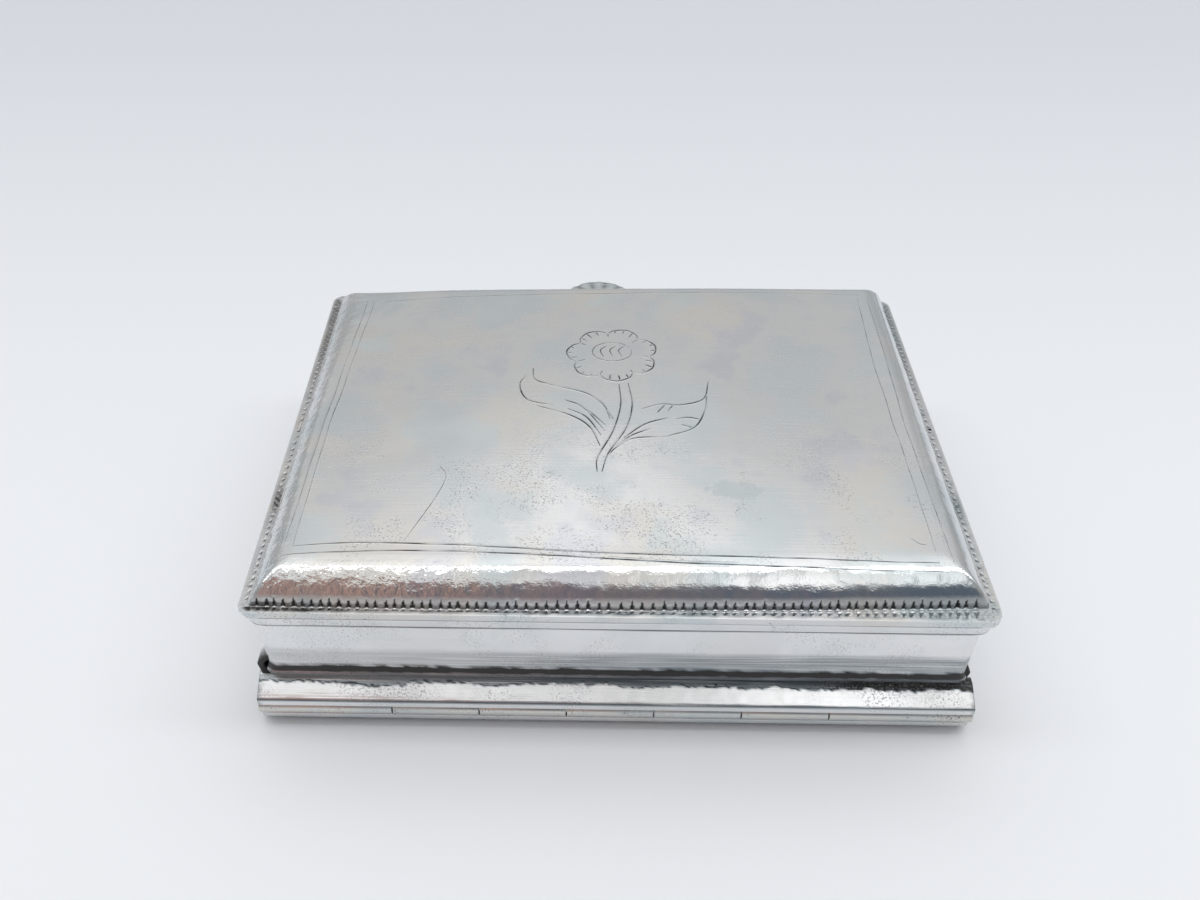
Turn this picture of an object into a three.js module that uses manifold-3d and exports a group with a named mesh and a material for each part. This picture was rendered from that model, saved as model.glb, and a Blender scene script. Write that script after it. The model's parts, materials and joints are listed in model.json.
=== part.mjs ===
// A hand-made silver snuff box, hinged along the lower near edge. The deep cover carries the
// cushioned top plate and the walls; the base is a dished plate with a bezel that the cover
// closes over. Sizes are in millimetres, +Z is up, X runs along the hinge, and the origin is
// on the underside of the base, below the middle of the top plate.
import * as THREE from 'three';
import { mergeGeometries, mergeVertices } from 'three/addons/utils/BufferGeometryUtils.js';
import Module from 'manifold-3d';

const wasm = await Module();
wasm.setup();

// Top plate of the cover: a flat flange round a cushion, whose slope is gentle on the near side
// and steep on the far side, where it also stands a little higher.
const PLATE_WIDTH = 85;
const PLATE_DEPTH = 63.8;
const PLATE_CORNER = 1.6;
const FLANGE_WIDTH = 1.5;
const FLANGE_THICK = 1.05;
const CUSHION_NEAR = 5;
const CUSHION_SIDE = 4.5;
const CUSHION_FAR = 3.2;
const CUSHION_RISE = 4.1;
const CUSHION_LEAN = 0.5;
const CUSHION_FOOT = 0.35;
const CUSHION_CORNER = 0.7;
const PLATE_SHEET = 0.9;
const CROWN = 0.8;
const CROWN_RINGS = 4;

// Punched border: two rows of small triangular marks, one up the foot of the cushion and one
// out across the flange.
const MARK_PITCH = 1.1;
const MARK_LENGTH = 1;
const MARK_RADIUS = 0.3;
const MARK_CORNER = 3;

// Walls of the cover, bent from sheet, and the rim strip between them and the flange.
const SHEET = 0.8;
const WALL_INSET = 1.2;
const WALL_HEIGHT = 15.35;
const WALL_CORNER = 1.4;
const RIM_INSET = 0.4;
const RIM_HEIGHT = 1.6;
const COVE_RADIUS = 5;
const FLARE_HEIGHT = 4.1;
const LIP_STEP = 0.2;

// Base: a dished plate that stands a little proud of the cover on three sides.
const BASE_OVERHANG = 0.9;
const BASE_SHEET = 0.85;
const BASE_DISH = 0.95;
const BASE_BORDER = 5.2;
const DISH_RUN = 5.8;
const BASE_NEAR_STEP = 0.5;
const BASE_CORNER = 0.9;
const BEZEL_HEIGHT = 4.25;
const BEZEL_CLEARANCE = 0.35;
const BEZEL_SETBACK = 4.7;

// Hinge: seven knuckles on one pin, under a rolled gutter along the near edge.
const KNUCKLES = 7;
const KNUCKLE_RADIUS = 1;
const MIDDLE_KNUCKLE = 10.57;
const KNUCKLE_SHIFT = -0.5;
const KNUCKLE_GAP = 0.15;
const PIN_RADIUS = 0.5;
const PIN_CLEARANCE = 0.1;
const HINGE_CLEARANCE = 0.1;
const GUTTER_RUN = 2.9;
const GUTTER_RISE = 1.6;
const GUTTER_RIM = 0.85;
const GUTTER_SHEET = 0.7;
const GUTTER_TAIL = 0.8;

// Thumbpiece: a small cast shell on the far rim.
const SHELL_RADIUS = 5.4;
const SHELL_THICK = 1.3;
const SHELL_LOBES = 7;
const SHELL_OFFSET = -1.8;
const SHELL_TILT = 0.16;

const SEAM = 0.05;
const ARC_STEPS = 6;
const SIDES = ['near', 'right', 'far', 'left'];

// Plan sizes that follow from these.
const halfX = PLATE_WIDTH / 2;
const halfY = PLATE_DEPTH / 2;
const wallX = halfX - WALL_INSET;
const wallY = halfY - WALL_INSET;
const baseX = halfX + BASE_OVERHANG;
const baseFar = halfY + BASE_OVERHANG;
const hingeX = baseX - LIP_STEP;
const flare = hingeX - wallX;
const axisY = -halfY + KNUCKLE_RADIUS;

// Heights, from the table up.
const borderTop = BASE_DISH + BASE_SHEET;
const axisZ = borderTop + HINGE_CLEARANCE + KNUCKLE_RADIUS;
const gutterFoot = axisZ + KNUCKLE_RADIUS + 1.5 * HINGE_CLEARANCE;
const gutterSpring = gutterFoot + GUTTER_RIM;
const gutterTop = gutterSpring + GUTTER_RISE;
const coveAngle = Math.acos(1 - (GUTTER_RUN - WALL_INSET) / COVE_RADIUS);
const waist = gutterTop + SEAM + COVE_RADIUS * Math.sin(coveAngle);
const wallTop = axisZ + WALL_HEIGHT;
const rimTop = wallTop + SEAM + RIM_HEIGHT;
const flangeFoot = rimTop + SEAM;
const flangeTop = flangeFoot + FLANGE_THICK;
const cushionTop = flangeTop + CUSHION_RISE;

// A plan outline as a shape: a rectangle with rounded corners.
function roundedRect(x, near, far, radius) {
  const shape = new THREE.Shape();
  const r = Math.max(radius, 0.25);
  shape.moveTo(-x + r, near);
  shape.lineTo(x - r, near);
  shape.absarc(x - r, near + r, r, -Math.PI / 2, 0);
  shape.lineTo(x, far - r);
  shape.absarc(x - r, far - r, r, 0, Math.PI / 2);
  shape.lineTo(-x + r, far);
  shape.absarc(-x + r, far - r, r, Math.PI / 2, Math.PI);
  shape.lineTo(-x, near + r);
  shape.absarc(-x + r, near + r, r, Math.PI, 1.5 * Math.PI);
  return shape;
}

// Points of a shape, with the doubled ones at the ends of its arcs left out.
function outline(shape, steps = ARC_STEPS) {
  const points = shape.getPoints(steps / 2);
  return points.filter((p, i) => p.distanceTo(points[(i + 1) % points.length]) > 1e-6);
}

// A closed skin through sections of equal point count, capped at both ends.
function loft(sections) {
  const count = sections[0].points.length;
  const positions = sections.flatMap(({ points, z }) => points.flatMap((p) => [p.x, p.y, z]));
  const index = [];
  for (let s = 0; s + 1 < sections.length; s++) {
    for (let i = 0; i < count; i++) {
      const a = s * count + i;
      const b = s * count + ((i + 1) % count);
      index.push(a, b, b + count, a, b + count, a + count);
    }
  }
  const last = (sections.length - 1) * count;
  for (const [i, j, k] of THREE.ShapeUtils.triangulateShape(sections[0].points, [])) {
    index.push(k, j, i);
  }
  for (const [i, j, k] of THREE.ShapeUtils.triangulateShape(sections.at(-1).points, [])) {
    index.push(last + i, last + j, last + k);
  }
  const geometry = new THREE.BufferGeometry();
  geometry.setAttribute('position', new THREE.Float32BufferAttribute(positions, 3));
  geometry.setIndex(index);
  return geometry;
}

// A plan shape raised from one height to another.
function raised(shape, from, to) {
  const options = { depth: to - from, bevelEnabled: false, curveSegments: ARC_STEPS };
  return new THREE.ExtrudeGeometry(shape, options).translate(0, 0, from);
}

// A section in the Y-Z plane run along X. Section points are (y, z).
function runAlongX(shape, from, to, steps = ARC_STEPS) {
  const options = { depth: to - from, bevelEnabled: false, curveSegments: steps };
  const geometry = new THREE.ExtrudeGeometry(shape, options);
  const axes = new THREE.Matrix4().set(0, 0, 1, 0, 1, 0, 0, 0, 0, 1, 0, 0, 0, 0, 0, 1);
  return geometry.applyMatrix4(axes).translate(from, 0, 0);
}

// A bar with a section of (outward, z) points, drawn along the near side and turned to another.
// Its ends follow the functions of the outward distance, so that a corner can be mitred.
function sideBar(points, fromAt, toAt, side) {
  const section = new THREE.Shape(points.map(([out, z]) => new THREE.Vector2(-out, z)));
  const geometry = runAlongX(section, 0, 1);
  const position = geometry.attributes.position;
  for (let i = 0; i < position.count; i++) {
    const out = -position.getY(i);
    position.setX(i, position.getX(i) > 0.5 ? toAt(out) : fromAt(out));
  }
  return geometry.rotateZ((SIDES.indexOf(side) * Math.PI) / 2);
}

// The left, far and right bars of a frame that is open on the hinge side. The section is given
// as (distance outside the frame's line, z); x and far place that line, near is the open end.
function openFrame(points, x, far, near) {
  const bars = {};
  for (const side of ['left', 'far', 'right']) {
    const [reach, along] = side === 'far' ? [far, x] : [x, far];
    const section = points.map(([out, z]) => [reach + out, z]);
    const mitre = (out) => along + out - reach - SEAM;
    const open = () => -near;
    const fromAt = side === 'right' ? (out) => -open(out) : (out) => -mitre(out);
    const toAt = side === 'left' ? open : mitre;
    bars[side] = sideBar(section, fromAt, toAt, side);
  }
  return bars;
}

function solidOf(geometry) {
  const bare = geometry.clone();
  bare.deleteAttribute('normal');
  bare.deleteAttribute('uv');
  const merged = mergeVertices(bare, 1e-4);
  const vertProperties = new Float32Array(merged.attributes.position.array);
  const triVerts = new Uint32Array(merged.index.array);
  return new wasm.Manifold(new wasm.Mesh({ numProp: 3, vertProperties, triVerts }));
}

function geometryOf(solid) {
  const mesh = solid.getMesh();
  const geometry = new THREE.BufferGeometry();
  geometry.setAttribute('position', new THREE.Float32BufferAttribute(mesh.vertProperties, 3));
  geometry.setIndex(Array.from(mesh.triVerts));
  return geometry;
}

function silver(color, roughness) {
  return new THREE.MeshStandardMaterial({ color, roughness, metalness: 1 });
}

function piece(name, geometry, material) {
  geometry.computeVertexNormals();
  const mesh = new THREE.Mesh(geometry, material);
  mesh.name = name;
  return mesh;
}

// One plan ring of the cover plate: an inset that is the same on all sides, and a share of the
// cushion's slope, from 0 at its foot to 1 at its shoulder.
function plateRing(inset, share, z, corner) {
  const x = halfX - inset - share * CUSHION_SIDE;
  const near = -halfY + inset + share * CUSHION_NEAR;
  const far = halfY - inset - share * CUSHION_FAR;
  return { points: outline(roundedRect(x, near, far, corner)), z };
}

// Rings of the cover plate, from under the middle, out round the flange and back over the top.
function plateRings() {
  const innerRise = cushionTop - PLATE_SHEET - flangeFoot;
  const under = [];
  const edge = [];
  const over = [];
  for (let i = 0; i <= ARC_STEPS; i++) {
    const turn = CUSHION_FOOT + (i / ARC_STEPS) * (Math.PI / 2 - CUSHION_FOOT);
    const share = 1 - Math.cos(turn) / Math.cos(CUSHION_FOOT);
    const up = (Math.sin(turn) - Math.sin(CUSHION_FOOT)) / (1 - Math.sin(CUSHION_FOOT));
    const inset = FLANGE_WIDTH + PLATE_SHEET * (1 - share);
    under.unshift(plateRing(inset, share, flangeFoot + innerRise * up, CUSHION_CORNER));
    over.push(plateRing(FLANGE_WIDTH, share, flangeTop + CUSHION_RISE * up, CUSHION_CORNER));
  }
  const nose = FLANGE_THICK / 2;
  for (let i = 0; i <= ARC_STEPS; i++) {
    const turn = (i / ARC_STEPS - 0.5) * Math.PI;
    const inset = nose * (1 - Math.cos(turn)) * 0.7;
    edge.push(plateRing(inset, 0, flangeFoot + nose + nose * Math.sin(turn), PLATE_CORNER - inset));
  }
  const middle = halfY - FLANGE_WIDTH - (CUSHION_NEAR + CUSHION_FAR) / 2;
  for (let i = 1; i <= CROWN_RINGS; i++) {
    const t = i / CROWN_RINGS;
    const inset = FLANGE_WIDTH + 0.8 * t * middle;
    const z = cushionTop + CROWN * t * (2 - t);
    const corner = CUSHION_CORNER + t * CUSHION_FAR;
    over.push(plateRing(inset, 1, z, corner));
    under.unshift(plateRing(inset, 1, z - PLATE_SHEET, corner));
  }
  return [...under, ...edge, ...over];
}

// Lifts the far side of the cushion and lowers the near side.
function leanCushion(geometry) {
  const position = geometry.attributes.position;
  for (let i = 0; i < position.count; i++) {
    const up = Math.max(position.getZ(i) - flangeTop, 0) / CUSHION_RISE;
    const lift = Math.min(up, 1) * CUSHION_LEAN * (position.getY(i) / halfY);
    position.setZ(i, position.getZ(i) + lift);
  }
  return geometry;
}

// Punch marks along all four sides: pointed pyramids, set at a height and an inset.
function punchMarks(mark, inset, z) {
  const marks = SIDES.flatMap((side, turn) => {
    const [run, reach] = turn % 2 ? [PLATE_DEPTH, halfX] : [PLATE_WIDTH, halfY];
    const count = Math.floor((run - 2 * MARK_CORNER) / MARK_PITCH);
    return Array.from({ length: count }, (_, i) => {
      const along = (i - (count - 1) / 2) * MARK_PITCH;
      return mark.clone().translate(along, -reach + inset, z).rotateZ((turn * Math.PI) / 2);
    });
  });
  return solidOf(mergeGeometries(marks));
}

function coverPlate() {
  const plate = leanCushion(loft(plateRings()));
  const upright = new THREE.ConeGeometry(MARK_RADIUS, MARK_LENGTH, 4);
  upright.rotateX(Math.PI / 2 - CUSHION_FOOT);
  const lying = new THREE.ConeGeometry(MARK_RADIUS, MARK_LENGTH, 4).rotateX(Math.PI);
  const upperInset = FLANGE_WIDTH + (MARK_LENGTH / 2) * Math.sin(CUSHION_FOOT);
  const upper = punchMarks(upright, upperInset, flangeTop + MARK_LENGTH / 2 + SEAM);
  const lower = punchMarks(lying, FLANGE_WIDTH - 0.6 * MARK_LENGTH, flangeTop + MARK_RADIUS / 4);
  return geometryOf(solidOf(plate).subtract(upper).subtract(lower));
}

function coverRim() {
  const x = halfX - RIM_INSET;
  const y = halfY - RIM_INSET;
  const ring = roundedRect(x, -y, y, PLATE_CORNER - RIM_INSET);
  const inner = roundedRect(wallX - SHEET, -wallY + SHEET, wallY - SHEET, WALL_CORNER - SHEET);
  ring.holes.push(inner);
  return raised(ring, wallTop + SEAM, rimTop);
}

// Near wall: upright, then coved inwards down to the gutter, with rounded upright corners.
function nearWall() {
  const face = -halfY + WALL_INSET;
  const centre = face + COVE_RADIUS;
  const section = new THREE.Shape();
  section.moveTo(face, wallTop);
  section.lineTo(face, waist);
  section.absarc(centre, waist, COVE_RADIUS, Math.PI, Math.PI + coveAngle);
  section.absarc(centre, waist, COVE_RADIUS - SHEET, Math.PI + coveAngle, Math.PI, true);
  section.lineTo(face + SHEET, wallTop);
  const wall = solidOf(runAlongX(section, -wallX, wallX));
  const plan = roundedRect(wallX, face, face + 4 * COVE_RADIUS, WALL_CORNER);
  return geometryOf(wall.intersect(solidOf(raised(plan, gutterTop, wallTop + 1))));
}

// Outward swing of the side and far walls at one height: none above the waist, full at the lip.
function flareAt(z) {
  const t = THREE.MathUtils.clamp((waist - z) / FLARE_HEIGHT, 0, 1);
  return flare * t * t * (3 - 2 * t);
}

// Left, far and right walls: mitred strips whose feet flare out to meet the base. The two side
// walls are notched at the near end, where the gutter and the cove pass.
function sideWalls() {
  const levels = [axisZ + SEAM];
  for (let i = 0; i <= ARC_STEPS; i++) {
    levels.push(waist - FLARE_HEIGHT + (i / ARC_STEPS) * FLARE_HEIGHT);
  }
  levels.push(wallTop);
  const outer = levels.map((z) => [flareAt(z), z]);
  const inner = outer.map(([out, z]) => [out - SHEET, z]).reverse();
  const near = -halfY + WALL_INSET + SHEET + 2 * SEAM;
  const walls = openFrame([...outer, ...inner], wallX, wallY, near);
  const notch = new THREE.BoxGeometry(4 * halfX, 2 * halfY, waist);
  notch.translate(0, -2 * halfY + GUTTER_RUN + GUTTER_TAIL + 3 * SEAM, waist / 2);
  for (const side of ['left', 'right']) {
    walls[side] = geometryOf(solidOf(walls[side]).subtract(solidOf(notch)));
  }
  return walls;
}

// Gutter: a strip rolled from under the near wall out and down to its rim, with closed ends.
function hingeGutter() {
  const near = -halfY;
  const spring = near + GUTTER_RUN;
  const tail = spring + GUTTER_TAIL;
  const roll = new THREE.Shape();
  roll.moveTo(tail, gutterTop);
  roll.lineTo(spring, gutterTop);
  roll.absellipse(spring, gutterSpring, GUTTER_RUN, GUTTER_RISE, Math.PI / 2, Math.PI);
  roll.lineTo(near, gutterFoot);
  roll.lineTo(tail, gutterFoot);
  const innerRun = GUTTER_RUN - GUTTER_SHEET;
  const innerRise = GUTTER_RISE - GUTTER_SHEET;
  const hollow = new THREE.Shape();
  hollow.moveTo(tail + 1, gutterTop - GUTTER_SHEET);
  hollow.lineTo(spring, gutterTop - GUTTER_SHEET);
  hollow.absellipse(spring, gutterSpring, innerRun, innerRise, Math.PI / 2, Math.PI);
  hollow.lineTo(near + GUTTER_SHEET, gutterFoot - 1);
  hollow.lineTo(tail + 1, gutterFoot - 1);
  const outside = solidOf(runAlongX(roll, -hingeX, hingeX));
  const inside = solidOf(runAlongX(hollow, -hingeX + GUTTER_SHEET, hingeX - GUTTER_SHEET));
  return geometryOf(outside.subtract(inside));
}

// X of each split between knuckles, with the ends of the hinge first and last.
function knuckleSplits() {
  const splits = [-hingeX];
  for (let i = 1; i < KNUCKLES; i++) {
    splits.push((i - KNUCKLES / 2) * MIDDLE_KNUCKLE + KNUCKLE_SHIFT);
  }
  splits.push(hingeX);
  return splits;
}

// One knuckle: a tube with a foot that reaches to the gutter above or to the base below.
function knuckle(from, to, onCover) {
  const section = new THREE.Shape();
  section.absarc(0, 0, KNUCKLE_RADIUS, 0, 2 * Math.PI);
  const bore = new THREE.Path();
  bore.absarc(0, 0, PIN_RADIUS + PIN_CLEARANCE, 0, 2 * Math.PI, true);
  section.holes.push(bore);
  const tube = runAlongX(section, from, to, 2 * ARC_STEPS).translate(0, axisY, axisZ);
  const back = -halfY + GUTTER_SHEET + 2 * SEAM;
  const reach = onCover ? gutterSpring + SEAM : borderTop + SEAM;
  const start = axisZ + (onCover ? 1 : -1) * (PIN_RADIUS + 2 * PIN_CLEARANCE);
  const limit = hingeX - GUTTER_SHEET - 2 * SEAM;
  const left = Math.max(from, -limit);
  const right = Math.min(to, limit);
  const foot = new THREE.BoxGeometry(right - left, KNUCKLE_RADIUS, Math.abs(reach - start));
  foot.translate((left + right) / 2, back + KNUCKLE_RADIUS / 2, (reach + start) / 2);
  return geometryOf(solidOf(tube).add(solidOf(foot)));
}

function hingePin() {
  const length = 2 * hingeX - 2 * KNUCKLE_GAP;
  const rod = new THREE.CylinderGeometry(PIN_RADIUS, PIN_RADIUS, length, 3 * ARC_STEPS);
  return rod.rotateZ(Math.PI / 2).translate(0, axisY, axisZ);
}

// Base plate: a flat border all round a shallow dish that the box stands on.
function basePlate() {
  const section = [];
  for (let i = 0; i <= ARC_STEPS; i++) {
    const t = i / ARC_STEPS;
    section.push([BASE_BORDER + DISH_RUN * (1 - t), BASE_DISH * t * t * (3 - 2 * t)]);
  }
  const under = [...section, [0.2, BASE_DISH], [0, BASE_DISH + 0.2]];
  const over = [[0, borderTop - 0.2], [0.2, borderTop]];
  for (const [inset, z] of section.toReversed()) {
    over.push([inset, z + BASE_SHEET]);
  }
  const sections = [...under, ...over].map(([inset, z]) => {
    const near = -halfY + BASE_NEAR_STEP + inset;
    const shape = roundedRect(baseX - inset, near, baseFar - inset, BASE_CORNER + inset / 4);
    return { points: outline(shape), z };
  });
  return loft(sections);
}

const bezelX = hingeX - SHEET - BEZEL_CLEARANCE;
const bezelFar = baseFar - LIP_STEP - SHEET - BEZEL_CLEARANCE;
const bezelNear = -halfY + BEZEL_SETBACK;

// Rim strips of the base, outside the bezel, that the walls of the cover stand on.
function baseRims() {
  const x = baseX - SEAM;
  const wide = x - bezelX - 2 * SEAM;
  const low = borderTop + SEAM;
  const high = axisZ - SEAM;
  const near = axisY + KNUCKLE_RADIUS + 3 * HINGE_CLEARANCE;
  return openFrame([[0, low], [0, high], [-wide, high], [-wide, low]], x, baseFar - SEAM, near);
}

// Bezel strips on the same three sides, with a running clearance inside the walls' feet.
function bezels() {
  const low = borderTop + SEAM;
  const high = borderTop + BEZEL_HEIGHT;
  const section = [[0, low], [0, high], [-SHEET, high], [-SHEET, low]];
  return openFrame(section, bezelX, bezelFar, bezelNear);
}

function nearBezel() {
  const width = 2 * (bezelX - SHEET - 2 * SEAM);
  const height = BEZEL_HEIGHT - SEAM;
  const bar = new THREE.BoxGeometry(width, SHEET, height);
  return bar.translate(0, bezelNear + SHEET / 2, borderTop + SEAM + height / 2);
}

// Thumbpiece: a fan of lobes with a groove between each two, drawn flat about its root.
function thumbpiece() {
  const spread = 0.46 * Math.PI;
  const fan = new THREE.Shape();
  fan.moveTo(0.62 * SHELL_RADIUS, 0);
  const steps = 6 * SHELL_LOBES;
  for (let i = 0; i <= steps; i++) {
    const turn = spread * (1 - (2 * i) / steps);
    const lobe = Math.abs(Math.sin((Math.PI * i * SHELL_LOBES) / steps));
    const r = SHELL_RADIUS * (0.92 + 0.08 * lobe);
    fan.lineTo(r * Math.sin(turn), r * Math.cos(turn));
  }
  fan.lineTo(-0.62 * SHELL_RADIUS, 0);
  let shell = solidOf(raised(fan, 0, SHELL_THICK));
  for (let i = 1; i < SHELL_LOBES; i++) {
    const turn = spread * (1 - (2 * i) / SHELL_LOBES);
    const cone = new THREE.CylinderGeometry(0.45, 0.12, SHELL_RADIUS, 8);
    cone.translate(0, 0.66 * SHELL_RADIUS, 0).rotateZ(-turn).translate(0, 0, SHELL_THICK + 0.1);
    shell = shell.subtract(solidOf(cone));
  }
  return geometryOf(shell);
}

const worn = silver(0xb9b7b2, 0.28);
const bright = silver(0xc4c3c0, 0.22);
const hinge = silver(0xa7a49e, 0.34);
const cast = silver(0x55524d, 0.55);
const inside = silver(0xaaa79f, 0.4);

const cover = new THREE.Group();
cover.name = 'cover';
cover.add(piece('cover_plate', coverPlate(), worn.clone()));
cover.add(piece('cover_rim', coverRim(), bright.clone()));
cover.add(piece('near_wall', nearWall(), bright.clone()));
for (const [side, geometry] of Object.entries(sideWalls())) {
  cover.add(piece(`${side}_wall`, geometry, bright.clone()));
}
cover.add(piece('hinge_gutter', hingeGutter(), bright.clone()));

const shell = piece('thumbpiece', thumbpiece(), cast.clone());
shell.position.set(SHELL_OFFSET, halfY - RIM_INSET + 4 * SEAM, rimTop - SHELL_THICK);
shell.rotation.x = SHELL_TILT;
cover.add(shell);

const base = new THREE.Group();
base.name = 'base';
base.add(piece('base_plate', basePlate(), worn.clone()));
for (const [side, geometry] of Object.entries(baseRims())) {
  base.add(piece(`base_rim_${side}`, geometry, bright.clone()));
}
for (const [side, geometry] of Object.entries(bezels())) {
  base.add(piece(`bezel_${side}`, geometry, inside.clone()));
}
base.add(piece('bezel_near', nearBezel(), inside.clone()));
base.add(piece('hinge_pin', hingePin(), hinge.clone()));

const splits = knuckleSplits();
for (let i = 0; i < KNUCKLES; i++) {
  const onCover = i % 2 === 0;
  const from = splits[i] + (i > 0 ? KNUCKLE_GAP / 2 : 0);
  const to = splits[i + 1] - (i < KNUCKLES - 1 ? KNUCKLE_GAP / 2 : 0);
  const name = `${onCover ? 'cover' : 'base'}_knuckle_${Math.floor(i / 2) + 1}`;
  const mesh = piece(name, knuckle(from, to, onCover), hinge.clone());
  (onCover ? cover : base).add(mesh);
}

const snuffBox = new THREE.Group();
snuffBox.name = 'snuff_box';
snuffBox.add(cover, base);

export default snuffBox;
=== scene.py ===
# %% [markdown]
# # A worn silver snuff box
# The real box is a deep cover hinged to a shallow dished base, made from silver sheet by hand. The packed
# model already holds every solid at its true size and place. It is loaded first, and the finer pieces are
# then built over it in the same frame, in metres, so that nothing has to be fitted by eye.

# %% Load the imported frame
import bisect
import json
import math
from types import SimpleNamespace

import bmesh
import bpy
from mathutils import Matrix, Vector, geometry, noise


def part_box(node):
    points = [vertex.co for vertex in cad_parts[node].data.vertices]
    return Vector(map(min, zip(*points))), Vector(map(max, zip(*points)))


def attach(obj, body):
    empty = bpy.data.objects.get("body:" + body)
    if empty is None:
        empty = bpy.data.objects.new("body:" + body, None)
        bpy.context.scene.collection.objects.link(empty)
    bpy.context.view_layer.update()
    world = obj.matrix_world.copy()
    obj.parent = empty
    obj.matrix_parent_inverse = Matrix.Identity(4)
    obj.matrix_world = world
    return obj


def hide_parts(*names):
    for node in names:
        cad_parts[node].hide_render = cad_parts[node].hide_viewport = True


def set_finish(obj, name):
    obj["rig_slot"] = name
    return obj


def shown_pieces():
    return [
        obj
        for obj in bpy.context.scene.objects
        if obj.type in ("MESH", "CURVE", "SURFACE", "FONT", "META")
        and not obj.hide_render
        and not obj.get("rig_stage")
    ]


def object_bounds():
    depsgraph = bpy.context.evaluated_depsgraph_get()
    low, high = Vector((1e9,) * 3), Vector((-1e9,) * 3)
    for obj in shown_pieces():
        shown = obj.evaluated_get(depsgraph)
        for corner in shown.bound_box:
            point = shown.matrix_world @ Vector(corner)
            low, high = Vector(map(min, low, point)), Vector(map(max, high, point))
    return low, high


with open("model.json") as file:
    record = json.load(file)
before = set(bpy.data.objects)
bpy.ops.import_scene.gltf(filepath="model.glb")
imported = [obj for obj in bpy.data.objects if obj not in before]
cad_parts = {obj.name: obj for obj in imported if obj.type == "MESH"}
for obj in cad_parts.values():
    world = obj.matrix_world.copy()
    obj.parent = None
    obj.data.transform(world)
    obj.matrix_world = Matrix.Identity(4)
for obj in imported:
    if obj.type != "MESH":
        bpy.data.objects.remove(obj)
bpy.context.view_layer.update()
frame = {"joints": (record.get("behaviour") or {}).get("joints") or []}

# %% [markdown]
# ## Sizes
# Most sizes come from the boxes of the solids. A few are sheet thicknesses and radii that a box can't
# tell, and most of those repeat the sizes that the solids were made with.

# %% Read the main sizes
MM = 0.001
SHEET = 0.8 * MM
plate_low, plate_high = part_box("cover_plate")
rim_low, rim_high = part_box("cover_rim")
wall_low, wall_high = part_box("near_wall")
side_low, side_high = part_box("right_wall")
gutter_low, gutter_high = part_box("hinge_gutter")
base_low, base_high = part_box("base_plate")
half_x = plate_high.x
half_y = plate_high.y
print("plate in mm", round(2000 * half_x, 2), "by", round(2000 * half_y, 2))

# %% [markdown]
# ## Bending sheet metal
# Nearly every piece is sheet: a flat blank that was bent, then soldered on. The same is done here. A grid
# stands for the blank, a function says where each point of the blank ends up, and an extrusion gives the
# sheet its second face. Every vertex remembers its place on the blank in two layers, u and v, so that a
# vertex added later by a subdivision can be sent to the right place too.

# %% Helpers for bent sheet
def spread(start, stop, pitch):
    """Even steps from start to stop, none longer than pitch."""
    count = max(1, math.ceil(abs(stop - start) / pitch - 1e-6))
    return [start + (stop - start) * i / count for i in range(count + 1)]


def mirrored(left, pitch):
    """Lines across a whole blank: those of its left side, an even middle, and the same turned round."""
    middle = spread(left[-1], -left[-1], pitch)[1:-1]
    return [*left, *middle, *(-at for at in reversed(left))]


def soft_step(value, low, high):
    """0 below low, 1 above high, and a smooth ramp between them."""
    t = min(max((value - low) / (high - low), 0.0), 1.0)
    return t * t * (3 - 2 * t)


def step_mm(value, low, high):
    """The same ramp, with both ends in millimetres."""
    return soft_step(value, low * MM, high * MM)


def hump(away, width):
    """1 where away is 0, falling smoothly to nothing over about two widths, in millimetres."""
    return math.exp(-(away / (width * MM)) ** 2)


def ripple(x, y, size, seed=0.0):
    """Smooth noise from about -1 to 1, with bumps about as long as size, in millimetres."""
    return noise.noise(Vector((x / (size * MM), y / (size * MM), seed)))


def blank(us, vs):
    """A grid with one vertex for each pair of lines, which it keeps in the layers u and v."""
    bm = bmesh.new()
    bmesh.ops.create_grid(bm, x_segments=len(us) - 1, y_segments=len(vs) - 1, size=1)
    layers = bm.verts.layers.float
    u, v = layers.new("u"), layers.new("v")
    layers.new("depth")
    layers.new("grime")
    for vert in bm.verts:
        vert[u] = us[round((vert.co.x + 1) / 2 * (len(us) - 1))]
        vert[v] = vs[round((vert.co.y + 1) / 2 * (len(vs) - 1))]
    return bm


def pull_out(bm):
    """Extrudes all faces, keeps the first ones, and gives the new vertices."""
    made = bmesh.ops.extrude_face_region(bm, geom=bm.faces[:], use_keep_orig=True)
    return [item for item in made["geom"] if isinstance(item, bmesh.types.BMVert)]


def thicken(bm):
    """Adds the second face and the cut edges of a sheet. Its vertices get depth 1."""
    depth = bm.verts.layers.float["depth"]
    for vert in pull_out(bm):
        vert[depth] = 1.0


def bend(bm, place, grime=None):
    """Sends every vertex to its place, and notes how dark dirt and painted shade make the metal there, from
    0 to 1.
    """
    u, v, depth, dirt_and_shade = (bm.verts.layers.float[name] for name in ("u", "v", "depth", "grime"))
    for vert in bm.verts:
        vert.co = place(vert[u], vert[v], vert[depth])
        if grime:
            vert[dirt_and_shade] = grime(vert[u], vert[v])


# %% [markdown]
# A finished piece is closed, has its normals outwards, gets its cut edges rounded by a small bevel, and
# rides on the cover or on the base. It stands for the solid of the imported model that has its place.

# %% Helpers that finish a piece
SHARP = math.radians(40)
WELD = 0.0005 * MM
FINE_EDGE = 0.12 * MM
SOFT_EDGE = 0.15 * MM


def sharp_edges(bm):
    """The edges where two faces meet at a sharp angle."""
    return [e for e in bm.edges if e.is_manifold and e.calc_face_angle() > SHARP]


def round_edges(bm, width, segments=3, edges=None):
    """Bevels some edges, or all the sharp ones."""
    chosen = sharp_edges(bm) if edges is None else edges
    bmesh.ops.bevel(bm, geom=chosen, offset=width, offset_type="OFFSET", affect="EDGES",
                    segments=segments, profile=0.5, material=-1, clamp_overlap=True)


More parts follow.
